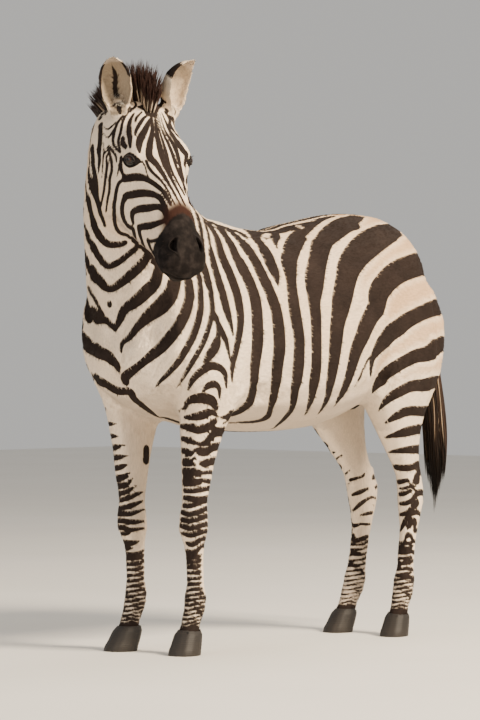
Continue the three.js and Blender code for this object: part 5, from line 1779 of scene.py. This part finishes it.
def make_tail():
    rng = np.random.default_rng(12)
    line = smooth_path(TAIL_PATH, 12.0)
    turn = rng.uniform(0, 2 * math.pi, TAIL_LOCKS)
    out = np.sqrt(rng.uniform(0, 1, TAIL_LOCKS))
    stop = np.clip(rng.beta(3.2, 1.1, TAIL_LOCKS) * (1.02 - 0.25 * out), 0.3, 1.0)
    begin = rng.uniform(-0.02, 0.10, TAIL_LOCKS)
    at = np.linspace(0, 1, TAIL_STATIONS)
    share = begin[:, None] + (stop - begin)[:, None] * at
    row = row_at(line, share)
    row[..., 2] += np.where(share < 0, -share * 560, 0)
    swirl = turn[:, None] + 0.5 * share + rng.normal(0, 0.25, (TAIL_LOCKS, 1)) * share
    gather = np.clip(0.45 + share * 3, 0, 0.93) * out[:, None] * row[..., 3]
    wave = 2.2 * np.sin(share * 14 + turn[:, None] * 3)
    offset = [np.cos(swirl) * (gather + wave), np.sin(swirl) * (gather - wave) * 0.72, 0 * swirl]
    paths = (row[..., :3] + np.stack(offset, -1)) * MM + TRUNK_AT
    widths = rng.uniform(2.0, 3.4, TAIL_LOCKS)[:, None] * np.interp(at, *TAIL_LOCK_TAPER) * MM
    flats = np.stack([np.cos(turn), np.sin(turn), 0 * turn], -1)
    mesh, each = locks("tail_locks", paths, widths, flats)
    pale = (rng.uniform(0, 1, TAIL_LOCKS) < 0.07) & (out > 0.75)
    per_lock = {"mark": np.where(pale, -2.0, 20.0), "tone": rng.uniform(0, 1, TAIL_LOCKS) ** 2}
    unwrap = np.column_stack([0.03 + 0.94 * turn / (2 * math.pi), 0.05 + 0.9 * stop])
    material = hair_material("tail_hair_coarse", "#15100e", "#120d0b", "#8d7a66", 0.7)
    return finish_locks(mesh, each, material, per_lock, TAIL_STATIONS, unwrap, ["tail_hair"])


# ---- the short coat's tufts ----
# Which way the hair lies where it is the same over a region: to the left, back and up.
LIES = {"trunk": (0.0, 0.86, -0.45), "neck": (0.0, 0.50, -0.86), "legs": (0.0, 0.12, -1.0)}


def lie_of(points, normals, region):
    """Which way the hair lies: along the skin, backwards and down, down the face and up the ears."""
    if region in LIES:
        way = np.tile(LIES[region], (len(points), 1))
    elif region == "ears":
        way = np.where((head_coords(points)[:, 1] > 0)[:, None], ear_axes("left")[0], ear_axes("right")[0])
    else:
        s, l = head_coords(points).T[:2]
        down = ramp(s, 120, 175)[:, None] * 2 - 1
        cheek = ramp(np.abs(l), 45, 85)[:, None]
        way = DOWN_FACE * down * (1 - cheek) + cheek * (DOWN_FACE * 0.5 - OFF_BROW * 0.6)
    return unit(way - normals * (way * normals).sum(1, keepdims=True) + 1e-6)


def region_of(points):
    """For each point the number of its region, in the order of TUFTS."""
    x, y, z = trunk_coords(points)
    region = np.zeros(len(points), int)
    region[(y < -300) & (z > 900 + (y + 620) * 0.4)] = 1
    region[z < 700] = 2
    region[in_head(points)] = 3
    region[in_ear(points)] = 4
    return region


TUFTS = {  # how many, and in millimetres their length, their width and how far the tip stands off the skin
    "trunk": (49000, 10, 2.0, 1.9),
    "neck": (26000, 9, 1.8, 1.7),
    "legs": (36000, 7, 1.5, 1.3),
    "head": (38000, 5, 1.0, 0.8),
    "ears": (9000, 9, 1.1, 1.3),
}


def round_share(turn):
    """An angle as a share of the way round, kept off the unwrap's edges."""
    return 0.05 + 0.9 * (turn / (2 * math.pi) + 0.5)


def unwrap_of(points, region):
    """A place on a plain cylindrical unwrap of each part of the skin, inside the unit square."""
    x, y, z = trunk_coords(points)
    s, l, n = head_coords(points).T
    if region == "legs":
        index = (x > 0) * 2 + (y > 0) * 1
        turn = np.zeros(len(points))
        for k, name in enumerate(("front_right", "hind_right", "front_left", "hind_left")):
            here = index == k
            turn[here] = np.arctan2(*(points[here, :2] - leg_middle(name, points[here, 2])).T)
        return np.column_stack([(index + round_share(turn)) / 4, 0.02 + z / 740])
    if region == "head":
        return np.column_stack([round_share(np.arctan2(l, n - AXIS_DEPTH)), 0.03 + s / 610])
    if region == "ears":
        place = np.zeros((len(points), 2))
        for side, middle in (("left", 0.75), ("right", 0.25)):
            here = l * SIDES[side] > 0
            q = ear_coords(points[here], side)
            place[here, 0] = middle + np.arctan2(q[:, 2], q[:, 1]) / (2 * math.pi) * 0.46
            place[here, 1] = 0.1 + 0.8 * q[:, 0] / 200
        return place
    if region == "neck":
        turn = np.arctan2(x + 30, -(y + 480) * 0.5 + (z - 1250) * 0.3)
        return np.column_stack([round_share(turn), 0.03 + (z - 780) / 900])
    return np.column_stack([round_share(np.arctan2(x, z - 1000)), 0.03 + (y + 640) / 1400])


TUFT_ROOT = 0.3  # how deep a tuft's foot stands in the skin
TUFT_FACES = ([0, 2, 1], [0, 3, 2], [1, 2, 3], [0, 1, 3])


def make_tufts(mesh, values, material):
    rng = np.random.default_rng(13)
    mesh.calc_loop_triangles()
    corners = array_of(mesh.loop_triangles, "vertices", np.int32, 3)
    co, normals = points_of(mesh), normals_of(mesh)
    a, b, c = (co[corners[:, k]] for k in range(3))
    area = np.linalg.norm(np.cross(b - a, c - a), axis=1) / 2
    centre = (a + b + c) / 3
    region = region_of(centre)
    open_skin = values["bare"][corners].max(1) < 0.6
    for k, (name, (count, length, width, lift)) in enumerate(TUFTS.items()):
        chance = area * (region == k) * open_skin
        chosen = rng.choice(len(corners), count, p=chance / chance.sum())
        weight = rng.dirichlet((1, 1, 1), count)
        pick = corners[chosen]
        root = (co[pick] * weight[..., None]).sum(1)
        normal = unit((normals[pick] * weight[..., None]).sum(1))
        lie = lie_of(root, normal, name)
        across = np.cross(normal, lie)
        swing = rng.normal(0, 0.2, count)[:, None]
        straight = lie
        lie = straight * np.cos(swing) + across * np.sin(swing)
        across = across * np.cos(swing) - straight * np.sin(swing)
        size = rng.uniform(0.75, 1.15, (count, 1)) * MM
        foot = root - normal * TUFT_ROOT * MM
        tip = root + (lie * length + normal * lift) * size
        ridge = root + (lie * length * 0.4 + normal * lift * 0.85) * size
        half = across * width / 2 * size
        points = np.stack([foot - half, foot + half, ridge, tip], 1).reshape(-1, 3)
        first = (np.arange(count) * 4)[:, None]
        faces = np.concatenate([first + face for face in TUFT_FACES])
        tufts = mesh_of(f"coat_{name}", points, faces.tolist())
        for key in VALUES:
            set_value(tufts, key, np.repeat((values[key][pick] * weight).sum(1), 4))
        set_bake_map(tufts, unwrap_of(root, name), 4)
        tufts.normals_split_custom_set_from_vertices(np.repeat(normal, 4, axis=0))
        add_piece(tufts, material)


# ---- studio ----
def floor_material():
    """Pale painted floor, matt, with the faintest unevenness."""
    material, add, shader = new_material("pale_floor")
    place = add("TexCoord", out="Object")
    cloud = add("TexNoise", {"Vector": place, "Scale": PER_METRE / 900, "Detail": 2.0})
    mixed = add("Mix", {0: cloud, 6: "#e9e6e0", 7: "#dedad3"}, **COLOURS)
    connect(shader, {"Base Color": mixed, "Roughness": 0.8})
    return material


# Each lamp's place in metres from the aim (towards the camera, to the right, up), its size, watts and colour.
LAMPS = {
    "key": ((3.4, 4.6, 4.6), 2.0, 1400, "#ffecd0"),
    "fill": ((4.5, -4.0, 1.5), 4.0, 90, "#f6f2f0"),
    "rim": ((-4.0, 2.5, 4.0), 2.5, 120, "#fff0dc"),
}
ROOM_LIGHT = 0.66


def studio():
    towards = np.array([TO_CAMERA, unit(np.cross(UP, TO_CAMERA)), UP])
    for name, (place, size, watts, tint) in LAMPS.items():
        data = bpy.data.lights.new(name, "AREA")
        data.size = size
        data.energy = watts
        data.color = colour(tint)[:3]
        light = bpy.data.objects.new(name, data)
        light.location = AIM + place @ towards
        light.rotation_euler = Vector(place @ towards).to_track_quat("Z", "Y").to_euler()
        bpy.context.scene.collection.objects.link(light)
    world = bpy.data.worlds.new("pale_room")
    world.use_nodes = True
    connect(world.node_tree.nodes["Background"], {"Color": "#e8e6e2", "Strength": ROOM_LIGHT})
    bpy.context.scene.world = world


# ---- fine hair: the ears' inner fringes, the lashes and the whiskers ----
EAR_HAIRS = 420  # in each ear
FRINGE_HALVES = ((0.0, 0.45, 0.7, 0.9), (22, 30, 25, 12))  # how far across they grow, by share of its height
LASHES = 26
WHISKERS = 44


def fine_hair(name, paths, half, material):
    """Thin tapered hairs through rows of points, all of one finish."""
    paths = np.array(paths)
    count, stations = paths.shape[:2]
    widths = np.tile(half * MM * np.linspace(1.0, 0.15, stations), (count, 1))
    flats = np.tile(UP, (count, 1))
    mesh, each = locks(name, paths, widths, flats)
    per_lock = {"mark": np.full(count, 20.0), "tone": np.linspace(0, 1, count)}
    unwrap = np.column_stack([np.linspace(0.05, 0.95, count), np.full(count, 0.5)])
    return finish_locks(mesh, each, material, per_lock, stations, unwrap)


def make_ear_fringes(tree, rng):
    paths = []
    at = np.linspace(0, 1, 4)[:, None]
    for side in SIDES:
        tipward, facing, across = ear_axes(side)
        root = ear_root(side)
        for height, place in rng.uniform((0.16, -1.0), (0.84, 1.0), (EAR_HAIRS, 2)):
            edge = np.sign(place)
            off = edge * (0.45 + 0.55 * abs(place)) * np.interp(height, *FRINGE_HALVES)
            start = root + (tipward * height * EAR_LENGTH + across * off + facing * 70) * MM
            foot = cast(tree, start, -facing)
            if foot is not None and np.linalg.norm(foot - start) < 0.10:
                lean = tipward * rng.uniform(0.35, 0.9) - across * edge * rng.uniform(0.5, 1.0)
                lean = unit(lean + facing * 0.16)
                length = rng.uniform(16, 28) * MM
                paths.append(foot + (lean * at - facing * 0.12 * at ** 2) * length)
    material = hair_material("ear_hair_fine", "#efe4d2", "#f6efe2", "#efe4d2", 0.3)
    return fine_hair("ear_fringes", paths, 0.5, material)


def make_face_hair(tree, rng):
    paths = []
    at = np.linspace(0, 1, 4)[:, None]
    for side, sign in SIDES.items():
        rise = eye_axes(side)[2]
        for turn in np.linspace(-0.75, 0.85, LASHES) * LID_REACH:
            foot = eye_place(side, turn, lid_height(turn, UPPER_LID) + 2, EYE_RADIUS + 1.6)
            out = unit(foot - EYE_CENTRES[side] + rise * rng.uniform(-2, 6) * MM)
            length = rng.uniform(10, 14) * MM
            paths.append(foot + (out * at - rise * 0.55 * at ** 2) * length)
        for s, turn in rng.uniform((455, 25), (520, 165), (WHISKERS // 2, 2)):
            way = math.radians(turn) * sign
            out = unit(head_point(s, math.sin(way), math.cos(way)) - head_point(s, 0, 0))
            foot = cast(tree, head_point(s, 0, AXIS_DEPTH), out)
            if foot is not None:
                tip = out + (head_point(1, 0, 0) - POLL) / MM * 0.25 - UP * 0.5 * at ** 2
                paths.append(foot + tip * at * rng.uniform(26, 40) * MM)
    material = hair_material("whisker_hair", "#1a1412", "#2a211d", "#1a1412", 0.8)
    return fine_hair("lashes_and_whiskers", paths, 0.28, material)


skin_mesh = make_skin()
values = paint(skin_mesh)
coat = coat_material()
add_piece(skin_mesh, coat, FLESH)
skin_tree = tree_of(skin_mesh)
eye_finish = eye_material()
lid_finish = bare_skin_material()
for side in SIDES:
    make_eye(side, eye_finish)
    make_lids(side, lid_finish)
hoof_finish = hoof_material()
for leg in LEGS:
    make_hoof(leg, hoof_finish)
make_mane(skin_mesh, values, skin_tree)
make_tail()
fine_rng = np.random.default_rng(21)
make_ear_fringes(skin_tree, fine_rng)
make_face_hair(skin_tree, fine_rng)
make_tufts(skin_mesh, values, coat)
stage().data.materials.append(floor_material())
camera()
studio()
